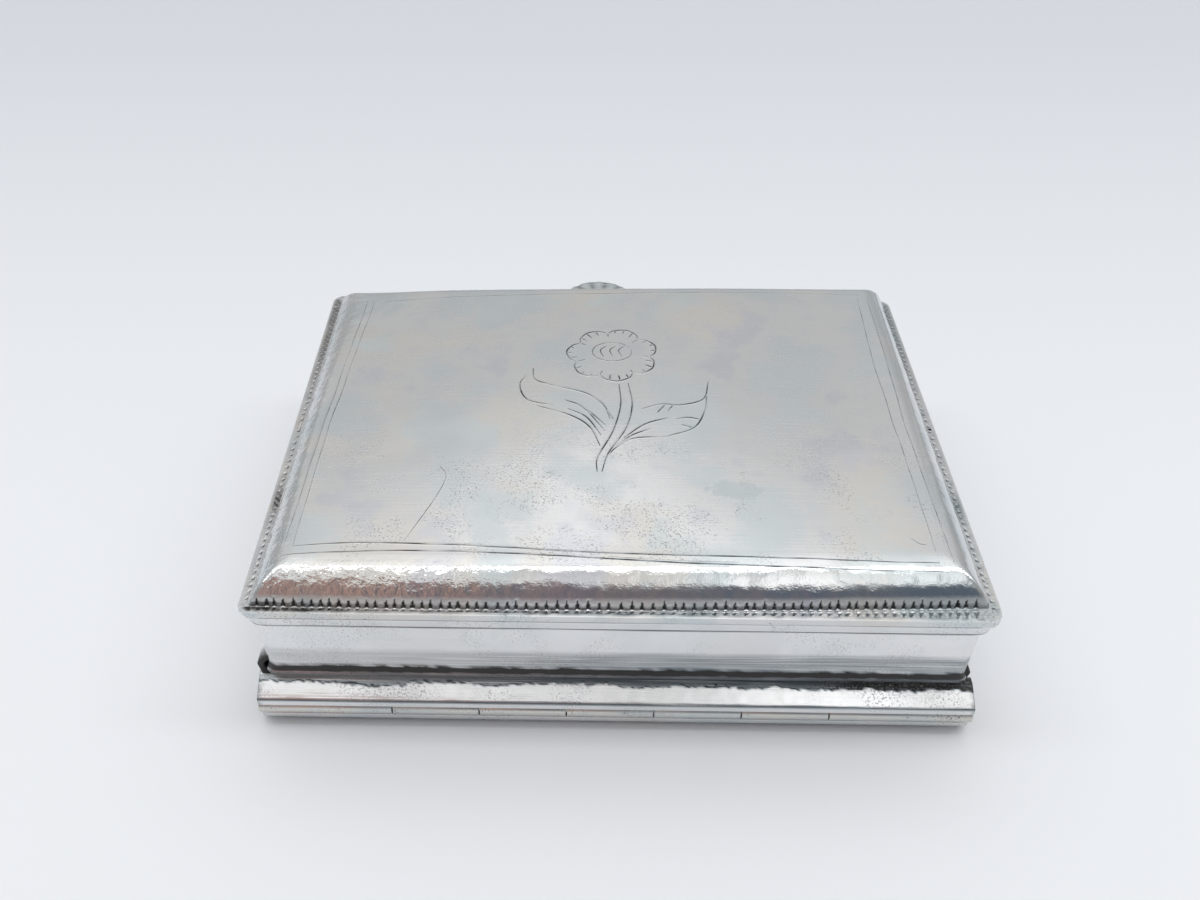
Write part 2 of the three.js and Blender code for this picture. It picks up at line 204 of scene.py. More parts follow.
def clean(bm):
    """Merges doubles and turns the faces outwards."""
    bmesh.ops.remove_doubles(bm, verts=bm.verts[:], dist=WELD)
    bmesh.ops.dissolve_degenerate(bm, edges=bm.edges[:], dist=WELD)
    bmesh.ops.recalc_face_normals(bm, faces=bm.faces[:])


def add_object(name, data):
    """A new object of the scene."""
    made = bpy.data.objects.new(name, data)
    bpy.context.scene.collection.objects.link(made)
    return made


def make_piece(bm, name, body, slot, *nodes):
    """Turns a bmesh into an object that rides on a body and stands for the given solids."""
    layers = bm.verts.layers.float
    for spare in ("u", "v", "depth"):
        if spare in layers:
            layers.remove(layers[spare])
    mesh = bpy.data.meshes.new(name)
    bm.to_mesh(mesh)
    bm.free()
    mesh.shade_smooth()
    mesh.set_sharp_from_angle(angle=SHARP)
    piece = add_object(name, mesh)
    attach(piece, body)
    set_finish(piece, slot)
    if nodes:
        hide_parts(*nodes)
    mesh.calc_loop_triangles()
    print(name, "has", len(mesh.loop_triangles), "triangles")


def make_sheet(us, vs, place, grime, edge, *piece, segments=3):
    """A piece bent from one blank, by its lines, where its points go, its dirt and painted shade, and its
    rounded edge.
    """
    bm = blank(us, vs)
    thicken(bm)
    bend(bm, place, grime)
    clean(bm)
    round_edges(bm, edge, segments)
    make_piece(bm, *piece)


# %% [markdown]
# ## Top plate
# The top plate is one sheet: a flat flange, a rounded slope and a slightly crowned middle, raised with a
# hammer. The smith laid it out on a flat blank, and so does this: its section is a function of the distance
# walked over the metal from the edge. The slope is gentle on the near side and steep on the far side.

# %% Section of the top plate
FLANGE_WIDTH = 1.5 * MM
FLANGE_THICK = 1.05 * MM
SLOPE_NEAR = 5 * MM
SLOPE_SKEW = 0.8 * MM
SLOPE_SIDE = 4.5 * MM
SLOPE_FAR = 3.2 * MM
SLOPE_WALK = 6.4 * MM
FOOT_TURN = 0.35
CUSHION_RISE = 4.1 * MM
PLATE_SHEET = 0.9 * MM
flange_top = plate_low.z + FLANGE_THICK
border = FLANGE_WIDTH + SLOPE_WALK
flat_x = half_x - FLANGE_WIDTH - SLOPE_SIDE
flat_y = half_y - FLANGE_WIDTH - (SLOPE_NEAR + SLOPE_FAR) / 2
flat_middle = (SLOPE_NEAR - SLOPE_FAR) / 2
blank_x = flat_x + border
blank_y = flat_y + border


def slope_turn(walk):
    """How far the slope's arc has turned after a walk from the edge."""
    share = min(max((walk - FLANGE_WIDTH) / SLOPE_WALK, 0.0), 1.0)
    return FOOT_TURN + share * (math.pi / 2 - FOOT_TURN)


def level_part(walk):
    """The part of a walk that goes over the flange and over the flat middle."""
    return min(walk, FLANGE_WIDTH) + max(walk - border, 0.0)


def run_share(walk):
    """Share of the slope's run that a walk has covered."""
    return 1 - math.cos(slope_turn(walk)) / math.cos(FOOT_TURN)


def rise_share(walk):
    """Share of the slope's rise that a walk has covered."""
    foot = math.sin(FOOT_TURN)
    return (math.sin(slope_turn(walk)) - foot) / (1 - foot)


def lean_at(walk):
    """Angle between the metal and the level."""
    if not FLANGE_WIDTH < walk < border:
        return 0.0
    turn = slope_turn(walk)
    up = CUSHION_RISE * math.cos(turn) / (1 - math.sin(FOOT_TURN))
    return math.atan2(up, SLOPE_SIDE * math.sin(turn) / math.cos(FOOT_TURN))


print("blank in mm", round(2000 * blank_x, 1), "by", round(2000 * blank_y, 1))

# %% [markdown]
# The corners of each ring are rounded by moving the square corner of the blank onto an arc. The radius
# shrinks on the way in, which leaves a mitre ridge on the slope's corners, as on the real plate. The near
# slope isn't quite parallel to the edge: its foot bows out in the middle, and to the right the flange is
# wider and the slope longer.

# %% Plan of the top plate
PLATE_CORNER = 1.6 * MM
RIDGE_CORNER = 0.35 * MM
SKEW = 0.55 * MM
BOW = 0.5 * MM
NARROW = 0.3 * MM
SLOPE_TRIM = 0.2 * MM


def round_corner(a, b, radius):
    """Moves a point, given by its insets from two edges, onto a rounded corner."""
    low, high = min(a, b), max(a, b)
    if high - low >= radius:
        return a, b
    turn = (1 - (high - low) / radius) * math.pi / 4
    near = low + radius * (1 - math.cos(turn))
    far = low + radius * (1 - math.sin(turn))
    return (near, far) if a <= b else (far, near)


def at_foot(walk):
    """1 at the foot of the slope, falling to 0 at the edge of the plate and at the shoulder."""
    return soft_step(walk, 0.4 * MM, FLANGE_WIDTH) * (1 - soft_step(walk, FLANGE_WIDTH, border))


def foot_shift(x):
    """How far inwards the foot of the near slope is moved. It bows out in the middle."""
    return SKEW * x / half_x - BOW * (1 - (x / half_x) ** 2)


def slope_run(x, y):
    """Run of the slope on the far or the near side."""
    return SLOPE_FAR if y >= 0 else SLOPE_NEAR - SLOPE_TRIM + SLOPE_SKEW * x / half_x


def plan_point(a, b):
    """Plan of a point of the plate's blank."""
    walk_x = blank_x - abs(a)
    walk_y = blank_y - abs(b)
    deep_x = level_part(walk_x) + run_share(walk_x) * SLOPE_SIDE
    deep_y = level_part(walk_y) + run_share(walk_y) * SLOPE_SIDE
    radius = max(PLATE_CORNER - 0.9 * min(deep_x, deep_y), RIDGE_CORNER)
    in_x, in_y = round_corner(deep_x, deep_y, radius)
    x = (half_x - in_x + NARROW * at_foot(walk_x)) * (-1 if a < 0 else 1)
    in_y += run_share(walk_y) * (slope_run(x, b) - SLOPE_SIDE)
    if b < 0:
        in_y += foot_shift(x) * at_foot(walk_y)
    return x, (half_y - in_y) * (-1 if b < 0 else 1)


# %% [markdown]
# Over the plan stands the height: the slope's rise, a slow crown, a lean towards the near side, a far edge
# that has sunk with wear towards its left corner, and the low, broad dents of the hammer.

# %% Heights of the top plate
CUSHION_LEAN = 0.5 * MM
CROWN = 0.75 * MM
SUNK = 0.8 * MM
SAG = 0.018
DENT = 0.04 * MM


def top_height(x, y, rise):
    """Height of the plate's top face, for a share of the slope's rise."""
    across = max(1 - (x / flat_x) ** 2, 0.0)
    along = max(1 - ((y - flat_middle) / flat_y) ** 2, 0.0)
    corner = hump(x + half_x, 15) * hump(y - half_y, 13)
    leftwards = min(max(6 * MM - x, -10 * MM), 40 * MM)
    worn = SUNK * corner + SAG * leftwards * step_mm(y, -15, 25)
    lean = CUSHION_LEAN * y / half_y
    return flange_top + rise * (CUSHION_RISE + lean + CROWN * across * along - worn)


def dents(x, y):
    """Low, broad unevenness that the hammer left, in metres."""
    broad = ripple(x, y, 19, 3.1) + 0.45 * ripple(x, y, 7, 8.4)
    return DENT * (broad + 0.16 * ripple(x, 2 * y, 2.6, 1.7))


# %% [markdown]
# ## Punched border
# Two rows of small triangles run round the foot of the slope, each struck with a punch: one row points
# up the slope and one points out over the flange. They were set by eye, so the gaps and depths differ.
# A list of places is made for each side, and a mark is a dent that narrows from its wide end to its point.

# %% Places of the punch marks
MARK_PITCH = 1.02 * MM
MARK_WIDTH = 0.92 * MM
MARK_DEPTH = 0.2 * MM
MARK_CORNER = 2.2 * MM
UPPER_LENGTH = 1.15 * MM
LOWER_START = 1.15 * MM
LOWER_LENGTH = 0.65 * MM


def strike_row(half_run, seed):
    """Places of the marks along one side, as (place, strength) pairs. They stand wider in the middle."""
    row = []
    at = MARK_CORNER - half_run
    while at < half_run - MARK_CORNER:
        force = 0.72 + 0.5 * abs(noise.noise(Vector((len(row) * 0.61, seed, 5.0))))
        row.append((at, force))
        middle = 0.2 * max(1 - abs(at) / (20 * MM), 0.0)
        at += MARK_PITCH * (1 + middle + 0.4 * noise.noise(Vector((len(row) * 0.83, seed, 0.0))))
    return row


def strike_rows(seed):
    """One row for each side: near, far, right and left."""
    runs = {"n": half_x, "f": half_x, "r": half_y, "l": half_y}
    return {side: strike_row(run, seed + i) for i, (side, run) in enumerate(runs.items())}


upper_rows = strike_rows(0)
lower_rows = strike_rows(7)
print("punch marks", sum(len(row) for row in [*upper_rows.values(), *lower_rows.values()]))


def strike(row, at, reach):
    """Depth of the nearest mark, from 0 to 1. Reach goes from 0 at its wide end to 1 at its point."""
    if not 0 <= reach < 1:
        return 0.0
    i = bisect.bisect_left(row, (at, 0.0))
    deepest = 0.0
    for place, force in row[max(i - 1, 0):i + 1]:
        half = MARK_WIDTH / 2 * force * (1 - reach)
        deepest = max(deepest, force * (1 - abs(at - place) / half))
    return deepest


def side_of(a, b):
    """The letter of the side that a point of the blank is nearest to."""
    if blank_x - abs(a) < blank_y - abs(b):
        return "r" if a > 0 else "l"
    return "f" if b > 0 else "n"


def marks(side, x, y, walk):
    """Depths of the marks that point up the slope and out over the flange, from 0 to 1."""
    at = y if side in "rl" else x
    up = strike(upper_rows[side], at, (walk - FLANGE_WIDTH - 0.04 * MM) / UPPER_LENGTH)
    out = LOWER_START - walk
    down = strike(lower_rows[side], at + 0.4 * out, out / LOWER_LENGTH)
    return up, down


# %% Shape of the top plate
OUTWARDS = {"r": (1, 0, 0), "l": (-1, 0, 0), "f": (0, 1, 0), "n": (0, -1, 0)}


def plate_point(a, b, depth):
    """Where a point of the plate's blank ends up."""
    walk = min(blank_x - abs(a), blank_y - abs(b))
    x, y = plan_point(a, b)
    top = top_height(x, y, rise_share(walk))
    lean = lean_at(walk)
    if depth > 0.5:
        return Vector((x, y, max(plate_low.z, top - PLATE_SHEET / max(math.cos(lean), 0.25))))
    side = side_of(a, b)
    up, down = marks(side, x, y, walk)
    lift = dents(x, y) * soft_step(walk, 1 * MM, border / 2) - MARK_DEPTH * max(up, 0.6 * down)
    normal = Vector(OUTWARDS[side]) * math.sin(lean) + Vector((0, 0, math.cos(lean)))
    return Vector((x, y, top)) + normal * lift


# %% [markdown]
# Dirt and painted shade fill what the punch struck and the crease at the slope's foot, and dirt leaves a
# grey film over the flange. On the side flanges it lies in slanted lines, so close that they look like
# rope.

# %% Dirt and painted shade on the top plate
def rope(y, walk):
    """Slanted dark lines along a side flange, with black packed in at one place and at the far end."""
    turns = (y + 0.7 * walk) / MARK_PITCH + 0.4 * ripple(y, walk, 4, 3.0)
    line = 0.5 + 0.5 * math.sin(2 * math.pi * turns)
    band = step_mm(walk, 0.2, 0.5) * (1 - step_mm(walk, 1.4, 1.8))
    packed = 0.5 * step_mm(y, 2, 22) + 0.65 * hump(y + 14 * MM, 2.5)
    return band * min(0.95, 0.3 * line + packed)


def plate_dirt_and_shade(a, b):
    """How dark a point of the top plate is, from dirt and painted shade."""
    walk = min(blank_x - abs(a), blank_y - abs(b))
    side = side_of(a, b)
    x, y = plan_point(a, b)
    up, down = marks(side, x, y, walk)
    patchy = 0.5 + 0.5 * ripple(x, y, 3, 2.2)
    # The crease at the slope's foot and the punch marks are darkened with dirt and painted shade.
    crease = 1 - step_mm(abs(walk - FLANGE_WIDTH), 0.04, 0.22)
    flange = step_mm(walk, 0.1, 0.5) * (1 - step_mm(walk, 1.3, 1.6))
    mottle = 0.5 * ripple(x, y, 0.36, 6.1) + 0.2 * ripple(x, y, 2.4, 1.3)
    near_film = 0.62 + 0.25 * step_mm(-x, 26, 38) - 0.35 * step_mm(x, 0, 22)
    flange *= mottle + (near_film if side == "n" else 0.15)
    film = max(flange, crease * (0.1 + 0.25 * patchy))
    if side in "rl":
        film = max(film, rope(y, walk) * (0.75 if side == "r" else 1))
    return max(0.9 * soft_step(up, 0, 0.2), 0.8 * soft_step(down, 0, 0.3), film)


# %% [markdown]
# The grid is close along the border and wide over the middle. Only the band of the punch marks needs
# more columns still, so just the edges that run along that band are subdivided, after the underside has
# been made, and the underside stays light. The edge of the sheet is rounded over nearly all its height.

# %% Build the top plate
BAND = (0.48 * MM, 2.75 * MM)
BAND_END = 2.7 * MM
PLATE_EDGE = 0.42 * MM
flange_lines = [0, 0.45 * MM, *spread(0.5 * MM, FLANGE_WIDTH, 0.1 * MM)]
foot_lines = spread(FLANGE_WIDTH, BAND_END, 0.12 * MM)[1:]
slope_lines = spread(BAND_END, border, 0.3 * MM)[1:]
edge_lines = [*flange_lines, *foot_lines, *slope_lines]


def plate_lines(half_blank):
    """Grid lines across the whole blank, close together along both borders."""
    return mirrored([walk - half_blank for walk in edge_lines], 0.9 * MM)


def band_edges(bm, nearest, farthest):
    """Upper edges along the band of marks, whose ends walk between two distances from the side edges."""
    u, v, depth = (bm.verts.layers.float[name] for name in ("u", "v", "depth"))
    found = []
    for edge in bm.edges:
        first, second = edge.verts
        if first[depth] + second[depth] > 0:
            continue
        for along, across, half, run in ((u, v, blank_y, blank_x), (v, u, blank_x, blank_y)):
            level = abs(first[across] - second[across]) < 1e-7
            from_end = run - max(abs(first[along]), abs(second[along]))
            from_start = run - min(abs(first[along]), abs(second[along]))
            inside = nearest < from_end + 1e-6 and from_start - 1e-6 < farthest
            if level and inside and BAND[0] < half - abs(first[across]) < BAND[1]:
                found.append(edge)
    return found


def rim_edges(bm):
    """The sharp edges at the outer edge of the sheet."""
    u, v = (bm.verts.layers.float[name] for name in "uv")
    return [e for e in sharp_edges(bm)
            if all(min(blank_x - abs(w[u]), blank_y - abs(w[v])) < 1e-6 for w in e.verts)]


plate = blank(plate_lines(blank_x), plate_lines(blank_y))
thicken(plate)
bmesh.ops.subdivide_edges(plate, edges=band_edges(plate, border, 1.0), cuts=5, use_grid_fill=True)
bmesh.ops.subdivide_edges(plate, edges=band_edges(plate, BAND[1], border), cuts=1, use_grid_fill=True)
bend(plate, plate_point, plate_dirt_and_shade)
clean(plate)
round_edges(plate, PLATE_EDGE, 5, rim_edges(plate))
make_piece(plate, "top_plate", "cover", "plate_silver", "cover_plate")

# %% [markdown]
# ## Engraving
# The flower and the border lines are cut with a graver. A cut is a shallow V with a small burr on each
# side, about a third of a millimetre wide, so it would need a very fine plate to be pressed in. It is made
# as a narrow strip instead, laid on the plate along a curve, with raised burrs and a dark middle, which is
# painted shade and dirt for the groove.

# %% Heights under the engraving
def walk_to(inset, slope, shift):
    """The walk over the metal that ends at an inset, where the slope's foot is shifted inwards."""
    walk = border
    for _ in range(6):
        share = min((inset - shift * at_foot(walk) - FLANGE_WIDTH) / slope, 1.0)
        turn = math.acos((1 - share) * math.cos(FOOT_TURN))
        walk = FLANGE_WIDTH + SLOPE_WALK * (turn - FOOT_TURN) / (math.pi / 2 - FOOT_TURN)
    return walk


def plate_height(x, y):
    """Height of the top face of the plate above a point of the plan."""
    walk_x = walk_to(half_x - abs(x), SLOPE_SIDE, -NARROW)
    walk_y = walk_to(half_y - abs(y), slope_run(x, y), foot_shift(x) if y < 0 else 0.0)
    return top_height(x, y, rise_share(min(walk_x, walk_y))) + dents(x, y)


# %% Helpers for engraved lines
CUT_WIDTH = 0.34 * MM
CUT_LINES = [-2.2, -0.95, -0.5, 0, 0.5, 0.95, 2.2]
CUT_HEIGHTS = {0: 0.008, 0.5: 0.016, 0.95: 0.025, 2.2: -0.012}


def curve_through(points, steps):
    """Points on a smooth curve through a few plan points, which are in millimetres."""
    knots = [Vector((x * MM, y * MM)) for x, y in points]
    ends = [2 * knots[0] - knots[1], *knots, 2 * knots[-1] - knots[-2]]
    path = []
    for i in range(1, len(ends) - 2):
        pull = (ends[i + 1] - ends[i - 1]) / 6, (ends[i + 2] - ends[i]) / 6
        path += geometry.interpolate_bezier(ends[i], ends[i] + pull[0], ends[i + 1] - pull[1],
                                            ends[i + 1], steps)[:-1]
    return [*path, knots[-1]]


def cut_line(bm, path, weight=1.0, dirt_and_shade=1.0):
    """Lays one tapered cut along a path of plan points. Its dark middle is painted shade and dirt, and some
    stretches of it have been rubbed clean.
    """
    layers = bm.verts.layers.float
    grime = layers["grime"] if "grime" in layers else layers.new("grime")
    strip = bmesh.ops.create_grid(bm, x_segments=len(path) - 1, y_segments=len(CUT_LINES) - 1, size=1)
    for vert in strip["verts"]:
        i = round((vert.co.x + 1) / 2 * (len(path) - 1))
        across = CUT_LINES[round((vert.co.y + 1) / 2 * (len(CUT_LINES) - 1))]
        ahead = path[min(i + 1, len(path) - 1)] - path[max(i - 1, 0)]
        side = Vector((-ahead.y, ahead.x)).normalized()
        share = min(max(i / (len(path) - 1), 0.03), 0.97)
        taper = weight * (0.3 + 0.7 * math.sin(math.pi * share) ** 0.5)
        at = path[i] + side * across * taper * CUT_WIDTH / 2
        vert.co = (at.x, at.y, plate_height(at.x, at.y) + CUT_HEIGHTS[abs(across)] * MM * taper)
        rubbed = 0.8 + 0.7 * ripple(at.x, at.y, 2.2, 5.0)
        vert[grime] = min(1.0, dirt_and_shade * rubbed * (1 - soft_step(abs(across), 0.4, 0.75)))


def cut_curve(bm, points, weight=0.85):
    """Lays one cut through a few plan points in millimetres."""
    cut_line(bm, curve_through(points, 12), weight)


# %% [markdown]
# The flower is a plain traditional one: a round head of scalloped petals with short ticks, an inner ring,
# a double stem and two leaves with a few veins. The head is drawn with arcs and the rest with free strokes.

# %% Engrave the flower head
HEAD = Vector((-0.2, 10.7))
HEAD_RADIUS = Vector((5.8, 5.65))
PETALS = 7


def head_point(turn, reach):
    """A point of the flower head, in millimetres, by its angle and its distance from the middle."""
    return HEAD + HEAD_RADIUS * Vector((math.cos(turn), math.sin(turn))) * reach


def petal_edge(turn):
    """How far out the scalloped outline of the head is at an angle."""
    return 0.86 + 0.22 * abs(math.sin(PETALS * turn / 2 + 0.4)) ** 0.7


flower = bmesh.new()
for petal in range(PETALS):
    start = (petal * math.pi - 0.4) * 2 / PETALS
    span = 2 * math.pi / PETALS
    turns = [start + span * t for t in (0.03, 0.2, 0.5, 0.8, 0.97)]
    cut_curve(flower, [head_point(turn, petal_edge(turn)) for turn in turns], 0.9)
    for turn in (start + span * t for t in (0.0, 0.3, 0.55, 0.78)):
        inner = petal_edge(turn) * (0.84 + 0.06 * math.sin(5 * turn))
        cut_curve(flower, [head_point(turn, petal_edge(turn)), head_point(turn, inner)], 0.8)
ring = [HEAD + Vector((2.7 * math.cos(t), 0.6 + 2.2 * math.sin(t))) for t in spread(0.5, 6.5, 0.7)]
cut_curve(flower, ring, 0.6)
for lean in (-1.2, 0.1, 1.3):
    stamen = [HEAD + Vector(step) for step in ((lean + 0.4, 1.9), (lean - 0.4, 0.9), (lean, -0.6))]
    cut_curve(flower, stamen, 0.55)
print("flower head strokes", PETALS * 5 + 4)

# %% Engrave the stem and the leaves
STROKES = {
    "stem left": [(0.6, 4.0), (0.7, -0.5), (-0.4, -5.6), (-2.3, -10.3), (-2.4, -12.8)],
    "stem right": [(1.8, 4.2), (2.2, -0.3), (1.3, -4.9), (-1.0, -9.6), (-1.8, -12.8)],
    "left leaf top": [(-10.9, 7.6), (-10.5, 5.1), (-8.1, 3.8), (-3.8, 2.1), (-1.6, -0.3), (-0.3, -3.1)],
    "left leaf tip": [(-11.7, 6.1), (-12.5, 3.9), (-11.4, 0.8), (-8.0, -0.4)],
    "left leaf foot": [(-10.1, -0.5), (-5.8, -2.4), (-3.3, -4.7), (-2.0, -8.2)],
    "left vein 1": [(-6.5, 0.7), (-4.1, -0.9), (-1.4, -5.4)],
    "left vein 2": [(-5.1, -0.1), (-3.0, -2.1), (-1.2, -4.5)],
    "left vein 3": [(-2.9, 1.6), (-1.4, -0.5), (-0.7, -3.1)],
    "left vein 4": [(-6.1, -1.1), (-3.7, -2.8), (-1.9, -6.2)],
    "right leaf top": [(12.4, 4.7), (11.5, 1.1), (8.6, -0.2), (5.9, -0.1), (3.4, -1.1)],
    "right leaf tip": [(12.0, 2.1), (11.5, -1.2), (9.9, -4.6), (6.3, -6.4)],
    "right leaf foot": [(6.3, -6.4), (2.2, -6.8), (0.1, -8.4), (-1.2, -10.2)],
    "right vein 1": [(6.7, -2.8), (3.7, -4.1), (1.0, -6.7)],
    "right vein 2": [(4.4, -4.9), (1.9, -6.3), (0.1, -8.1)],
    "right vein 3": [(7.7, -3.0), (9.2, -2.7), (10.7, -3.0)],
    "right vein 4": [(8.3, -4.1), (9.8, -4.7)],
    "right tick 1": [(5.4, -1.8), (6.4, -0.3)],
    "right tick 2": [(6.8, -1.4), (7.6, -0.1)],
}
for points in STROKES.values():
    cut_curve(flower, points)
make_piece(flower, "flower_engraving", "cover", "plate_silver")

# %% [markdown]
# Two lines follow each side of the plate just inside its shoulder. The graver was pushed along by hand,
# so they wander, fade and run a little past the corners.

# %% Engrave the border lines
LINES = {
    "near inner": [(-37, -25.1), (-28.2, -24.5), (-14.2, -24.9), (0.3, -25.7), (18.4, -26),
                   (35.8, -26.4)],
    "near outer": [(-38.1, -26.4), (-26.2, -25.7), (-13.9, -25.8), (3.3, -26.7), (18.4, -27.1),
                   (36.6, -27.4)],
    "near slip": [(-1.3, -26.2), (6.3, -26.6), (13.4, -26.7)],
    "left outer": [(-38, -26.5), (-37.4, -7.5), (-36.8, 7.4), (-36.1, 25.6)],
    "left inner": [(-36.9, -25.2), (-36.5, -5.4), (-35.9, 7.3), (-35.1, 25.3)],
    "right inner": [(35.9, 25.5), (35.3, 9.3), (35.5, -6.5), (35.7, -26.2)],
    "right outer": [(37.3, 25.5), (37.2, 11), (36.9, -2.9), (37.4, -27)],
    "far": [(-35.5, 25.3), (-14.8, 26.2), (13.4, 26.6), (37.4, 26.3)],
}
SLIPS = {
    "scratch": [(-21.5, -12), (-20.6, -13.7), (-21.5, -17.3), (-24.4, -24.2)],
    "corner tick": [(33.3, -22.8), (34.1, -23.6), (34.9, -23.8)],
}


def wander(point):
    """Moves a point of a line as an unsteady hand does."""
    aside = Vector((ripple(point.x, point.y, 6), ripple(point.y, point.x, 5, 4.0)))
    return point + aside * 0.12 * MM


lines = bmesh.new()
for name, points in LINES.items():
    crisp = name in ("near inner", "near outer")
    path = [wander(point) for point in curve_through(points, 26)]
    # The last number sets how dark the cut's painted shade and dirt are.
    cut_line(lines, path, 0.85 if crisp else 0.65, 1.0 if crisp else 0.55)
for points in SLIPS.values():
    cut_curve(lines, points, 0.4)
make_piece(lines, "line_engraving", "cover", "plate_silver")

# %% [markdown]
# ## Rim strip
# Below the flange a flat strip goes all round. It starts as one rectangle: its four corners are beveled
# round, an inset cuts out the middle, and the ring is drawn up to its height. Level cuts near its two edges
# give the painted shade there a row of vertices to stop at, so that it lies in two thin dark lines, where
# the strip meets the flange and the wall.

# %% Build the rim strip
RIM_CORNER = 2 * MM
RIM_CUTS = (0.13, 0.24, 1.2, 1.32)
rim = bmesh.new()
bmesh.ops.create_grid(rim, x_segments=1, y_segments=1, size=1)
bmesh.ops.scale(rim, vec=(rim_high.x, rim_high.y, 1), verts=rim.verts[:])
bmesh.ops.bevel(rim, geom=rim.verts[:], offset=RIM_CORNER, affect="VERTICES", segments=8, profile=0.5,
                material=-1)
middle = rim.faces[:]
bmesh.ops.inset_region(rim, faces=middle, thickness=rim_high.x - wall_high.x + SHEET,
                       use_boundary=True, use_even_offset=True)
bmesh.ops.delete(rim, geom=middle, context="FACES")
bmesh.ops.translate(rim, vec=(0, 0, rim_high.z - rim_low.z), verts=pull_out(rim))
bmesh.ops.translate(rim, vec=(0, 0, rim_low.z), verts=rim.verts[:])
for height in RIM_CUTS:
    bmesh.ops.bisect_plane(rim, geom=[*rim.verts, *rim.edges, *rim.faces], plane_no=(0, 0, 1),
                           plane_co=(0, 0, rim_low.z + height * MM))
clean(rim)
round_edges(rim, FINE_EDGE)
# Painted shade: two dark lines along the strip's lower and upper edges, over a faint grey film.
rim_shade_lines = rim.verts.layers.float.new("grime")
for vert in rim.verts:
    lower = 1 - step_mm(vert.co.z - rim_low.z, 0.1, 0.26)
    upper = 1 - step_mm(rim_high.z - vert.co.z, 0.28, 0.4)
    vert[rim_shade_lines] = 0.08 + 0.9 * lower + 0.8 * upper
make_piece(rim, "rim_strip", "cover", "wall_silver", "cover_rim")

# %% [markdown]
# ## Near wall
# The near wall is upright and then coved inwards down to the gutter. Its ends bend round the corners of the
# box, and down the cove they spread towards the ends of the gutter. A small gap stays beside them, where
# the side walls begin to flare, and there the side walls' ends are painted black for shade and dirt.

# %% Shape of the near wall
COVE_RADIUS = 5 * MM
WALL_CORNER = 1.4 * MM
CORNER_TURN = math.radians(66)
END_SPREAD = 1.1 * MM
GUTTER_RUN = 2.9 * MM
wall_face = wall_low.y
cove_depth = gutter_low.y + GUTTER_RUN - wall_face
cove_turn = math.acos(1 - cove_depth / COVE_RADIUS)
waist = wall_low.z + COVE_RADIUS * math.sin(cove_turn)
upright = wall_high.z - waist
flat_run = wall_high.x - WALL_CORNER


def cove(walk):
    """How far the wall leans in, and its height, after a walk down from its top."""
    if walk <= upright:
        return 0.0, wall_high.z - walk
    turn = (walk - upright) / COVE_RADIUS
    return COVE_RADIUS * (1 - math.cos(turn)), waist - COVE_RADIUS * math.sin(turn)


def spread_out(u, z):
    """How far an end of the wall spreads sideways down the cove, towards the ends of the gutter."""
    down = 1 - soft_step(z, wall_low.z, waist)
    return END_SPREAD * down * soft_step(abs(u), flat_run - 5 * MM, flat_run)


def near_wall_point(u, v, depth):
    """Where a point of the near wall's blank ends up."""
    lean, z = cove(v)
    inner = SHEET * depth
    over = max(abs(u) - flat_run, 0.0) / WALL_CORNER
    x = min(abs(u), flat_run) + (WALL_CORNER - inner) * math.sin(over) + spread_out(u, z)
    y = wall_face + WALL_CORNER - (WALL_CORNER - inner) * math.cos(over)
    slope = math.sin(max(v - upright, 0.0) / COVE_RADIUS)
    wave = 0.03 * MM * (1 - depth) * ripple(u, v, 11, 6.0)
    wave *= step_mm(flat_run - abs(u), 0, 3)
    return Vector((math.copysign(x, u), y + lean + wave, z + inner * slope * 0.6))


# %% Painted shade and dirt on the near wall
SHADE_FILM_HEIGHT = 2.9 * MM
SHADE_LINE_DROP = 0.8 * MM


def near_wall_shade_and_dirt(u, v):
    """Painted shade: a line under the rim, a grey film above the cove for its darker reflection, and black
    in the cove for shade and dirt.
    """
    line = 1 - step_mm(abs(v - SHADE_LINE_DROP), 0.1, 0.25)
    line *= 0.4 + 0.5 * ripple(u, 0, 14)
    edge = upright - SHADE_FILM_HEIGHT + 0.3 * MM * ripple(u, 0, 12, 2.0)
    streaks = 1 + 0.3 * ripple(0.1 * u, v, 0.7, 1.0)
    # Painted reflection: the film stands for the darker things that the cove mirrors, and is darker to the
    # right.
    film = 0.25 + 0.23 * step_mm(u, -30, 0)
    film *= soft_step(v, edge - 0.3 * MM, edge + 0.4 * MM) * streaks
    below = v + 0.35 * MM * ripple(u, v, 1.4, 9.0) - upright
    black = step_mm(below, -0.45, 0.25) * (1 - 0.6 * step_mm(below, 1.2, 1.8))
    return max(black, line, film)


# %% Bend the near wall
end_run = flat_run + WALL_CORNER * CORNER_TURN
wall_columns = mirrored(spread(-end_run, -flat_run, 0.2 * MM), 0.8 * MM)
wall_rows = [*spread(0, 1.2 * MM, 0.1 * MM), *spread(1.2 * MM, upright, 0.6 * MM)[1:],
             *spread(upright, upright + COVE_RADIUS * cove_turn, 0.25 * MM)[1:]]
make_sheet(wall_columns, wall_rows, near_wall_point, near_wall_shade_and_dirt, FINE_EDGE,
           "front_wall", "cover", "wall_silver", "near_wall")

# %% [markdown]
# ## Side and far walls
# The other three walls are strips with a flared foot, mitred where they meet. One function bends a strip
# for the right side, and a turn about the middle of the box sends it to the side it belongs to. The strips
# of the base and the bezel are made the same way, from straight sections.

# %% A helper for mitred strips
SEAM = 0.05 * MM
TURNS = {"right": 0, "far": 1, "left": 2}


